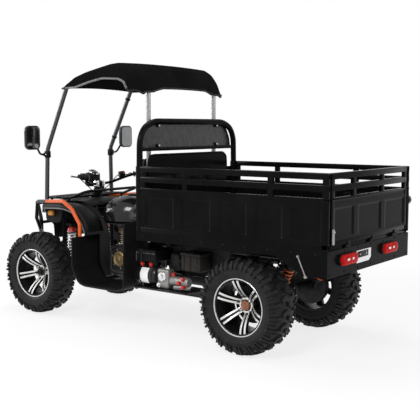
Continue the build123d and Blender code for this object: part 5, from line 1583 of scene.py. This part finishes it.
@dataclass(frozen=True)
class Pad:
    """A padded cushion: a smaller form that swells under pressure, then takes seams and a welt.

    Args:
        name: The piece's name.
        node: The solid that it stands for.
        corners: Its outline, round the middle.
        bend: Reach of the outline's round corners.
        centre: Its middle.
        layers: Distance and scale of the outline's copies, from the underside to the face.
        normal: The direction across the copies.
        seams: Direction and place of each seam on the face.
        welt: Distance and scale at which the welt runs round.
        pressure: That fills it.
        cap: How far a point may move.
        voxel: Size of the skin's mesh.
    """

    name: str
    node: str
    corners: tuple[Span, ...]
    bend: float
    centre: Point
    layers: tuple[Span, ...]
    normal: str
    seams: tuple[tuple[int, float], ...]
    welt: Span
    pressure: float = 4.0
    cap: float = 0.024
    voxel: float = 0.006

    def outline(self) -> np.ndarray:
        """Return the outline with round corners, in even steps from the middle of its last side.

        Returns:
            Array of pairs.
        """
        start = (np.array(self.corners[-1]) + np.array(self.corners[0])) / 2
        route = smooth_path([(*start, 0), *[(*c, 0) for c in self.corners], (*start, 0)], self.bend, 9)[:, :2]
        return follow(route, np.linspace(0, lengths(route)[-1], 240, endpoint=False))

    def read(self, mesh: bpy.types.Mesh, kind: str = "co") -> np.ndarray:
        """Return the mesh's points, or with kind normal their outward directions.

        Args:
            mesh: The mesh.
            kind: What is read, co or normal.

        Returns:
            Array of n points.
        """
        values = np.empty(len(mesh.vertices) * 3, np.float32)
        mesh.vertices.foreach_get(kind, values)
        return values.reshape(-1, 3).astype(float)

    def skin(self, piece: Piece) -> None:
        """Give the form an even mesh of small squares.

        Args:
            piece: The pad.
        """
        cover = piece.modifiers.new("skin", "REMESH")
        cover.mode = "VOXEL"
        cover.voxel_size = self.voxel
        cover.use_smooth_shade = True
        shaped = piece.evaluated_get(bpy.context.evaluated_depsgraph_get())
        piece.data = bpy.data.meshes.new_from_object(shaped)
        piece.modifiers.clear()

    def swell(self, piece: Piece) -> None:
        """Blow the skin up with cloth, its underside held, and cap how far each point moves.

        Args:
            piece: The pad.
        """
        rest = self.read(piece.data)
        axis = "xyz".index(self.normal)
        held = np.nonzero(rest[:, axis] < self.centre[axis] + self.layers[0][0] + 2 * self.voxel)[0]
        pins = piece.vertex_groups.new(name="held")
        pins.add(held.tolist(), 1.0, "REPLACE")
        cloth = piece.modifiers.new("swell", "CLOTH")
        cloth.settings.use_pressure = True
        cloth.settings.uniform_pressure_force = self.pressure
        cloth.settings.vertex_group_mass = pins.name
        cloth.settings.effector_weights.gravity = 0.0
        cloth.point_cache.frame_end = 20
        scene = bpy.context.scene
        for frame_number in range(1, 21):
            scene.frame_set(frame_number)
        shaped = piece.evaluated_get(bpy.context.evaluated_depsgraph_get())
        step = self.read(shaped.data) - rest
        size = np.linalg.norm(step, axis=1, keepdims=True)
        moved = rest + step * np.minimum(1, self.cap / np.maximum(size, 1e-9))
        piece.modifiers.clear()
        piece.vertex_groups.clear()
        scene.frame_set(1)
        piece.data.vertices.foreach_set("co", moved.astype(np.float32).ravel())
        piece.data.update()

    def stitch(self, piece: Piece) -> None:
        """Draw the face in along its seams: a narrow bell-shaped groove on each.

        Args:
            piece: The pad.
        """
        points, out = self.read(piece.data), self.read(piece.data, "normal")
        face = step_up(out[:, "xyz".index(self.normal)], 0.2, 0.6)
        groove = sum(0.008 * np.exp(-((points[:, axis] - at) / 0.007) ** 2) for axis, at in self.seams)
        piece.data.vertices.foreach_set("co", (points - out * (groove * face)[:, None]).astype(np.float32).ravel())
        piece.data.update()

    def piping(self, piece: Piece) -> Shell:
        """Return the welt: the outline drawn to the nearest places of the pad's skin, evened out, as a thin tube.

        Args:
            piece: The pad.

        Returns:
            The shell.
        """
        ring = stack(self.outline(), [self.welt, self.welt], self.centre, self.normal).points[:240]
        points = self.read(piece.data)
        near = points[np.argmin(np.linalg.norm(ring[:, None] - points[None], axis=2), axis=1)]
        for _ in range(6):
            near = (np.roll(near, 1, 0) + 2 * near + np.roll(near, -1, 0)) / 4
        up = {"x": (1, 0, 0), "z": (0, 0, 1)}[self.normal]
        return sweep(near, circle(0.0042, 8), up, wrap=True)

    def build(self) -> None:
        """Build the pad and its welt."""
        piece = form(self.name, [stack(self.outline(), list(self.layers), self.centre, self.normal)], [VINYL])
        self.skin(piece)
        self.swell(piece)
        self.stitch(piece)
        welt = self.piping(piece)
        soft = piece.modifiers.new("soft", "SUBSURF")
        soft.levels = soft.render_levels = 1
        attach(piece, "chassis", (self.node,))
        make(f"{self.name}_welt", [welt], [GRIP_RUBBER], "chassis", sharp=60)


CUSHION = Pad(
    "seat_cushion_pad", "seat_cushion",
    ((-0.1555, 0.43), (-0.0105, 0.43), (0.1455, 0.24), (0.1555, 0.0), (0.1455, -0.24), (-0.0105, -0.43),
     (-0.1555, -0.43)),
    0.05, (0.2345, 0.0, 0.83),
    ((-0.05, 0.9), (-0.046, 0.95), (-0.036, 0.97), (0.022, 0.97), (0.034, 0.955), (0.041, 0.92), (0.045, 0.86),
     (0.046, 0.7)),
    "z", ((1, 0.15), (1, -0.15)), (0.03, 0.98))
BACKREST = Pad(
    "seat_back_pad", "seat_back",
    ((0.43, 0.182), (-0.43, 0.182), (-0.43, -0.182), (0.43, -0.182)),
    0.075, (0.119, 0.0, 1.0627),
    ((-0.04, 0.93), (-0.037, 0.955), (-0.028, 0.965), (0.016, 0.965), (0.026, 0.95), (0.032, 0.92), (0.035, 0.86),
     (0.036, 0.7)),
    "x", ((1, 0.15), (1, -0.15), (2, 1.16)), (0.022, 0.98))


# Steering and mirrors


@dataclass(frozen=True)
class Steering:
    """Column, handlebar on risers, grips, levers, switch boxes, cables and a round instrument.

    Args:
        foot: The column's lower end.
        top: The column's upper end.
        bar: One half of the bar, from the clamp to its left end.
        bar_r: The bar's radius.
        out: Step from the bar to the lever on the left.
        pod: The instrument's middle, near its underside.
        pod_lean: How far its dial leans back, in degrees.
    """

    foot: Point = (1.158, 0.0, 0.353)
    top: Point = (0.915, 0.0, 1.02)
    bar: tuple[Point, ...] = ((0.922, 0.11, 1.0), (0.817, 0.27, 1.066), (0.744, 0.39, 1.082))
    bar_r: float = 0.011
    out: Point = (0.041, 0.025, 0.0)
    pod: Point = (1.0, 0.0, 0.987)
    pod_lean: float = 22.0

    def along(self, distance: float, out: float = 0.0, lift: float = 0.0) -> Point:
        """Return a place on the left half, so far inward from the bar's end, out towards the lever and up.

        Args:
            distance: Inward along the bar.
            out: Steps towards the lever.
            lift: Upward.

        Returns:
            The place.
        """
        end = np.array(self.bar[2])
        run = unit(np.array(self.bar[1]) - end)
        return tuple(end + run * distance + np.array(self.out) * out + np.array([0, 0, lift]))

    def box(self, span: Span, size: Span, out: float, lift: float, slot: int) -> Shell:
        """Return a round-edged box along the bar.

        Args:
            span: From and to, inward along the bar.
            size: Width and height.
            out: Steps towards the lever.
            lift: Upward.
            slot: Which finish it takes.

        Returns:
            The shell.
        """
        steps = np.array([0, 0.12, 0.88, 1.0])
        path = np.array([self.along(span[0] + (span[1] - span[0]) * s, out, lift) for s in steps])
        return sweep(path, rounded(*size, 0.3 * min(size)), (0, 0, 1), scale=np.array([0.82, 1, 1, 0.82]), slot=slot)

    def handlebar(self) -> None:
        """Build the column, the bar, its risers and what the hands work."""
        left = list(self.bar)
        route = [(x, -y, z) for x, y, z in left[::-1]] + left
        shells = [tube([self.foot, self.top], 0.016, up=(0, 1, 0)), tube(route, self.bar_r, 0.06)]
        lean = np.array([cos(radians(20)), 0, sin(radians(20))])
        arm = np.array(self.foot) + np.array([-0.0045, 0, 0.012])
        shells.append(tube([tuple(arm), tuple(arm + 0.1 * lean)], 0.01, up=(0, 1, 0)))
        shells.append(lathe([(-0.012, 0.001), (-0.012, 0.015), (0.012, 0.015), (0.012, 0.001)],
                            tuple(arm + 0.1 * lean), (0, 0, 1), 20))
        for side in SIDES:
            shells.append(block((0.9, 0.948), (side * 0.02, side * 0.046), (0.972, 1.022), 0.008, 4, 1))
            shells += bolts([(x, side * 0.033, 1.022) for x in (0.909, 0.939)], (0, 0, 1), 0.006, 0.006, 1)
        shells.append(block((0.905, 0.944), (-0.044, 0.044), (0.955, 0.978), 0.008, 4))
        boot = [(-0.13, 0.017), (-0.13, 0.03), (-0.118, 0.033), (-0.1, 0.029), (-0.082, 0.034), (-0.066, 0.032),
                (-0.052, 0.036), (-0.048, 0.017)]
        shells.append(lathe(boot, self.top, tuple(np.array(self.top) - np.array(self.foot)), 32, True, 3))
        hand = [self.box((0.135, 0.165), (0.03, 0.03), 0.25, 0.0, 2)]
        lever = smooth_path([self.along(0.15, 0.3), self.along(0.15, 1.0), self.along(0.09, 1.02),
                             self.along(0.0, 1.3)], 0.03)
        hand.append(sweep(lever, rounded(0.007, 0.013, 0.003), (0.1, 0.05, 1), slot=2))
        knob = [(-0.008, 0.001), (-0.006, 0.006), (0, 0.008), (0.006, 0.006), (0.008, 0.001)]
        hand.append(lathe(knob, self.along(0.0, 1.3), (0, 0, 1), 16, slot=2))
        cable = [self.along(0.16, 0.6), self.along(0.24, 1.6, 0.01), (0.925, 0.13, 0.99), (0.944, 0.045, 0.935),
                 (0.978, 0.02, 0.835)]
        hand.append(tube(cable, 0.0036, 0.07, 8, slot=3))
        shells += both(hand)
        shells += [self.box((0.17, 0.225), (0.036, 0.03), 0.5, 0.012, 2),
                   self.box((0.174, 0.221), (0.038, 0.008), 0.5, 0.03, 3),
                   self.box((0.18, 0.215), (0.034, 0.044), -0.15, 0.0, 3),
                   self.box((0.2, 0.25), (0.044, 0.05), 0.1, 0.012, 3).mirrored(),
                   self.box((0.205, 0.222), (0.012, 0.012), -0.4, 0.024, 4).mirrored()]
        make("handlebar_set", shells, [TUBE_PAINT, CHROME, CAST_ALLOY, RIM_BLACK, SIGNAL_RED], "steering",
             ("handlebar",), sharp=40)

    def grips(self) -> None:
        """Build the grips: ribbed sleeves with a round end and a flange."""
        at = np.linspace(-0.004, 0.116, 97)
        ribs = np.stack([at, 0.0158 + 0.0009 * np.sin(at * 2 * pi / 0.0075)], -1)
        profile = np.concatenate([[(-0.008, 0.001), (-0.008, 0.013)], ribs,
                                  [(0.117, 0.0235), (0.123, 0.0235), (0.125, 0.012), (0.125, 0.001)]])
        run = np.array(self.bar[1]) - np.array(self.bar[2])
        left = lathe(profile, self.bar[2], tuple(run), 28)
        make("grip_pair", both([left]), [GRIP_RUBBER], "steering", ("grips",), sharp=50)

    def instrument(self) -> None:
        """Build the instrument: a rounded housing, a leaning dial with a bright bezel, a plain ring and a pointer."""
        housing = stack(rounded(0.088, 0.128, 0.034, 7), [(-0.012, 0.6), (-0.008, 0.82), (0.006, 0.95), (0.03, 1.0),
                                                          (0.08, 0.98), (0.092, 0.93), (0.098, 0.84)], self.pod, "z")
        lean = radians(self.pod_lean)
        axis = np.array([-sin(lean), 0.0, cos(lean)])
        foot = np.array(self.pod) + np.array([-0.002, 0, 0.078])
        rings = (((0, 0.001), (0, 0.036), (0.016, 0.044), (0.026, 0.044), (0.028, 0.04), (0.028, 0.001)),
                 ((0.024, 0.0445), (0.032, 0.044), (0.034, 0.041), (0.031, 0.038), (0.026, 0.038)),
                 ((0.0283, 0.034), (0.0289, 0.034), (0.0289, 0.032), (0.0283, 0.032)))
        shells = [housing] + [lathe(list(ring), tuple(foot), tuple(axis), 40, slot > 0, slot)
                              for slot, ring in enumerate(rings)]
        hub = foot + 0.0295 * axis
        needle = np.array([hub, hub + np.array([0.024 * cos(lean), 0.018, 0.024 * sin(lean)])])
        shells.append(sweep(needle, rounded(0.003, 0.0016, 0.0006), tuple(axis), scale=np.array([1.0, 0.5]), slot=2))
        make("instrument_can", shells, [MATT_MOULDING, CHROME, PLATE_WHITE], "steering",
             ("instrument_pod",))

    def build(self) -> None:
        """Build the steering's upper end."""
        self.handlebar()
        self.grips()
        self.instrument()


@dataclass(frozen=True)
class Mirrors:
    """Two mirrors on bent arms, clamped to the front posts.

    Args:
        at: The left mirror's rear face.
        size: Width and height.
        post: The left post's place at the clamp.
    """

    at: Point = (1.104, 0.523, 1.372)
    size: Span = (0.14, 0.185)
    post: Point = (1.135, 0.3535, 1.24)

    def build(self) -> None:
        """Build both mirrors: outlines scaled across the shell, a glass, and an arm with its clamp and clips."""
        outline = rounded(*self.size, 0.036, 8)
        left = [stack(outline, [(0.0, 0.9), (-0.001, 0.97), (0.003, 1.0), (0.014, 1.0), (0.026, 0.95), (0.035, 0.84),
                                (0.0395, 0.6)], self.at, "x"),
                stack(outline * 0.9, [(-0.0015, 0.97), (-0.0035, 0.97), (-0.0036, 0.9)], self.at, "x", 1)]
        x, y, z = self.post
        clamp = np.array([(-0.026, 0.0175), (-0.026, 0.023), (-0.022, 0.025), (0.022, 0.025), (0.026, 0.023),
                          (0.026, 0.0175)])
        left += [tube([(x, y + 0.019, z), (x, y + 0.075, z), (self.at[0] + 0.02, self.at[1] - 0.04, 1.32)], 0.008,
                      0.03, slot=2),
                 lathe(clamp, self.post, (0, 0, 1), 28, True, 2),
                 block((x - 0.012, x + 0.012), (y + 0.018, y + 0.038), (z - 0.014, z + 0.014), 0.004, slot=2)]
        left += bolts([(x - 0.012, y + 0.03, z)], (-1, 0, 0), 0.006, 0.005, 3)
        make("mirror_pair", both(left), [GLOSS_MOULDING, MIRROR_GLASS, TUBE_PAINT, ZINC],
             "chassis", ("mirrors",), sharp=40)
        foot, head = np.array([1.135, 0.353, 1.276]), np.array([0.90, 0.36, 1.751])
        clips = [lathe(clamp * np.array([0.3, 0.86]), tuple(foot + (head - foot) * s), tuple(head - foot), 28, True)
                 for s in (0.2, 0.86)]
        make("post_clips", [s.mirrored() for s in clips], [TUBE_PAINT], "chassis")


# Driveline and boxes


@dataclass(frozen=True)
class RearAxle:
    """Axle housing with its differential, trailing arms, shaft tube and exhaust.

    Args:
        centre: Middle of the axle.
        half: Half the housing's length.
        shaft_x: Front end of the shaft's tube.
        pipe: The exhaust pipe's route.
        silencer: The silencer's rear and front.
    """

    centre: Point = (-0.835, 0.0, 0.318)
    half: float = 0.4687
    shaft_x: float = 0.3397
    pipe: tuple[Point, ...] = ((0.3397, -0.06, 0.5), (0.099, -0.06, 0.5), (-0.081, -0.17, 0.5), (-0.221, -0.17, 0.5))
    silencer: Span = (-0.621, -0.221)

    def housing(self) -> None:
        """Build the housing: a turned tube that swells into the differential, with bolts round its seam."""
        profile = np.array([(0.0, 0.092), (0.05, 0.09), (0.07, 0.078), (0.085, 0.056), (0.12, 0.042), (0.3, 0.038),
                            (0.4, 0.038), (0.405, 0.048), (0.42, 0.048), (0.425, 0.038), (self.half, 0.038),
                            (self.half, 0.001)])
        seam = [(-0.008, 0.09), (-0.008, 0.1), (0.008, 0.1), (0.008, 0.09)]
        shells = [lathe(np.concatenate([profile[:0:-1] * np.array([-1, 1]), profile]), self.centre, turns=48),
                  lathe(seam, self.centre, turns=48, closed=True)]
        turn = np.arange(12) * pi / 6
        ring = points_of(self.centre[0] + 0.096 * np.cos(turn), 0.008, self.centre[2] + 0.096 * np.sin(turn))
        shells += bolts(ring, (0, 1, 0), 0.006, 0.006, 1)
        length = self.shaft_x - self.centre[0]
        sleeve = [(0.06, 0.001), (0.06, 0.06), (0.13, 0.042), (0.16, 0.032), (length - 0.06, 0.032),
                  (length - 0.055, 0.04), (length - 0.01, 0.04), (length, 0.032), (length, 0.001)]
        shells.append(lathe(sleeve, self.centre, (1, 0, 0), 36))
        drum = [(0.335, 0.03), (0.335, 0.125), (0.34, 0.13), (0.395, 0.13), (0.405, 0.12), (0.408, 0.04),
                (0.408, 0.03)]
        for side in SIDES:
            eye, out = (-0.405, side * 0.295, 0.304), (0, side, 0)
            shells += [tube([(self.centre[0], side * 0.295, 0.318), eye], 0.018, up=(0, 0, 1)),
                       block((-0.43, -0.38), (side * STEEL_FACE, side * 0.317), (0.275, 0.33), 0.008, 4),
                       *bolts([(-0.405, side * 0.317, 0.304)], out, 0.011, 0.01, 1),
                       lathe(drum, self.centre, out, 48, True)]
        make("rear_axle_housing", shells, [AXLE_IRON, ZINC], "chassis", ("rear_axle",))

    def exhaust(self) -> None:
        """Build the exhaust: a bent pipe, a silencer with domed ends and bands, and its tail."""
        long = self.silencer[1] - self.silencer[0]
        half = np.array([(0, 0.001), (0, 0.03), (0.006, 0.046), (0.02, 0.055), (0.06, 0.055), (0.062, 0.057),
                         (0.08, 0.057), (0.082, 0.055)])
        can = np.concatenate([half, (half * np.array([-1, 1]) + np.array([long, 0]))[::-1]])
        tail = [(-0.06, 0.016), (-0.06, 0.02), (0.01, 0.02), (0.01, 0.016)]
        foot = (self.silencer[0], *self.pipe[-1][1:])
        shells = [tube(list(self.pipe), 0.02, 0.07, 20), lathe(can, foot, (1, 0, 0), 48),
                  lathe(tail, foot, (1, 0, 0), 28, True)]
        make("exhaust_line", shells, [EXHAUST_STEEL], "chassis", ("exhaust",))

    def build(self) -> None:
        """Build the housing and the exhaust."""
        self.housing()
        self.exhaust()


@dataclass(frozen=True)
class Boxes:
    """The battery box under the bed's left front corner and the seat's base.

    Args:
        battery: Spans of the battery box.
        base: Spans of the seat's base.
    """

    battery: tuple[Span, Span, Span] = ((-0.073, 0.102), (0.29, 0.47), (0.5147, 0.5997))
    base: tuple[Span, Span, Span] = ((0.089, 0.241), (-0.26, 0.26), (0.64, 0.7797))

    def under_bed(self) -> None:
        """Build the shields on the upper rails and the filter box that hangs on the left one."""
        outline = loop([(-0.3, 0.62), (-0.03, 0.62), (-0.05, 0.43), (-0.18, 0.405), (-0.38, 0.425), (-0.56, 0.52),
                        (-0.58, 0.62)], 0.02)
        panel = plate(outline, 0.262, 0.2705, "y")
        case = [block((-0.42, -0.25), (0.2705, 0.41), (0.47, 0.585), 0.014, 4, 1),
                block((-0.425, -0.245), (0.2705, 0.415), (0.578, 0.6), 0.008, 4, 1),
                block((-0.2, -0.11), (0.2705, 0.36), (0.455, 0.575), 0.02, 4)]
        case += [block((x - 0.006, x + 0.006), (0.405, 0.414), (0.48, 0.575), 0.003, slot=1)
                 for x in (-0.39, -0.335, -0.28)]
        case.append(tube([(-0.25, 0.33, 0.52), (-0.2, 0.33, 0.52)], 0.026, up=(0, 0, 1)))
        make("under_bed_shield", [*both([panel]), *case], [AXLE_IRON, BOX_BROWN], bevel=0.002)

    def build(self) -> None:
        """Build both boxes with their lids, ribs and straps, and the shields under the bed."""
        (x0, x1), (y0, y1), (z0, z1) = self.battery
        # The thin grey tubes along the lid's edges are a painted highlight.
        shells = [block((x0 + 0.003, x1 - 0.003), (y0 + 0.003, y1 - 0.003), (z0, z1 - 0.02), 0.008, 4),
                  block((x0, x1), (y0, y1), (z1 - 0.024, z1), 0.006, 4),
                  tube([(x0, y1, z1 - 0.024), (x1, y1, z1 - 0.024), (x1, y0, z1 - 0.024)], 0.002, 0.006, 8, slot=1),
                  tube([(x1, y1, z0), (x1, y1, z1 - 0.02)], 0.002, sides=8, up=(1, 0, 0), slot=1)]
        shells += [block((x0 + s * (x1 - x0) - 0.005, x0 + s * (x1 - x0) + 0.005), (y1 - 0.004, y1 + 0.001),
                         (z0 + 0.004, z1 - 0.026), 0.002) for s in np.linspace(0.12, 0.88, 6)]
        strap = (x1 - 0.06, x1 - 0.03)
        shells.append(block(strap, (y1 - 0.002, y1 + 0.004), (z0 - 0.001, z1 + 0.0005), 0.002, slot=2))
        make("battery_case", shells, [MATT_MOULDING, LIP_HIGHLIGHT, RIM_BLACK], nodes=("battery_box",))
        self.under_bed()
        x, y, z = self.base
        panel = [block(x, y, z, 0.012, 4)]
        panel += [block((x[1] - 0.002, x[1] + 0.003), (at - 0.004, at + 0.004), (z[0] + 0.02, z[1] - 0.02), 0.002)
                  for at in np.linspace(-0.22, 0.22, 12)]
        make("seat_base_panel", panel, [MATT_MOULDING], nodes=("seat_base",))


# The whole quad


def wheels() -> list[Wheel]:
    """Return the four wheels."""
    return [
        Wheel("rear_left", (-0.835, 0.457, 0.318), 1, 0.125, 0.1, CAP_COPPER, 20),
        Wheel("rear_right", (-0.835, -0.457, 0.318), -1, 0.125, 0.1, CAP_COPPER, 35),
        Wheel("front_left", (1.145, 0.4445, 0.318), 1, 0.1035, 0.076, CAP_DARK, 46),
        Wheel("front_right", (1.145, -0.4445, 0.318), -1, 0.1035, 0.076, CAP_DARK, 5),
    ]


def dress_solids() -> None:
    """Give every solid its finish, also those that a piece stands for."""
    for finish, nodes in {
        FRAME_PAINT: ("frame", "knuckle_left", "knuckle_right", "tie_rod_left", "tie_rod_right", "cylinder_barrel"),
        TUBE_PAINT: ("front_bumper", "front_rack", "handlebar"),
        GUARD_PAINT: ("guard_tubes",),
        POST_PAINT_AND_SHADE: ("roof_posts",),
        BED_PAINT: ("bed_floor", "bed_side_left", "bed_side_right", "headboard", "tail_skirt", "tailgate"),
        PANEL_MOULDING: ("guard_panel",),
        MATT_MOULDING: ("front_body", "footwell_left", "footwell_right", "seat_base", "battery_box",
                        "instrument_pod"),
        ROOF_MOULDING: ("roof",),
        GLOSS_MOULDING: ("tank_cover", "mirrors"),
        VINYL: ("seat_cushion", "seat_back"),
        CASE_DARK: ("engine",),
        EXHAUST_STEEL: ("exhaust",),
        AXLE_IRON: ("rear_axle", "power_pack"),
        SPRING_ORANGE: ("rear_struts",),
        SPRING_WHITE: ("front_struts",),
        ARM_RED: ("front_arms",),
        GRIP_RUBBER: ("grips",),
        LENS_CLEAR: ("front_lamps",),
        LENS_RED: ("tail_lamps",),
        PLATE_WHITE: ("plate_holder",),
        CHROME: ("cylinder_rod",),
    }.items():
        for solid in (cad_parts[name] for name in nodes):
            if not solid.material_slots:
                solid.data.materials.append(finish.material())
            for place in solid.material_slots:
                place.material = finish.material()
        LOG.info("%s: %s", finish.name, ", ".join(nodes))


def main() -> None:
    """Build the studio and every sub-assembly."""
    logging.basicConfig(level=logging.INFO, format="%(message)s")
    Studio().build()
    dress_solids()
    for wheel in wheels():
        wheel.build()
    CargoBed().build()
    Canopy().build()
    FrontBody().build()
    Struts("front_strut_pair", "front_struts", (1.05, 0.205, 0.2633), (1.05, 0.188, 0.665), (0.36, 0.9),
           (SPRING_WHITE, RIM_BLACK, SIGNAL_RED, SPRING_ORANGE), "strut_steel").build()
    Struts("rear_strut_pair", "rear_struts", (-0.92, 0.255, 0.326), (-1.05, 0.255, 0.5917), (0.28, 0.85),
           (SPRING_ORANGE, RIM_BLACK, RIM_BLACK, RIM_BLACK), "rear_strut_steel", 6.5).build()
    for assembly in (Engine(), PowerPack(), RearAxle(), Boxes(), CUSHION, BACKREST, Steering(), Mirrors()):
        assembly.build()
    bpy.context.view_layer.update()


if __name__ == "__main__":
    main()
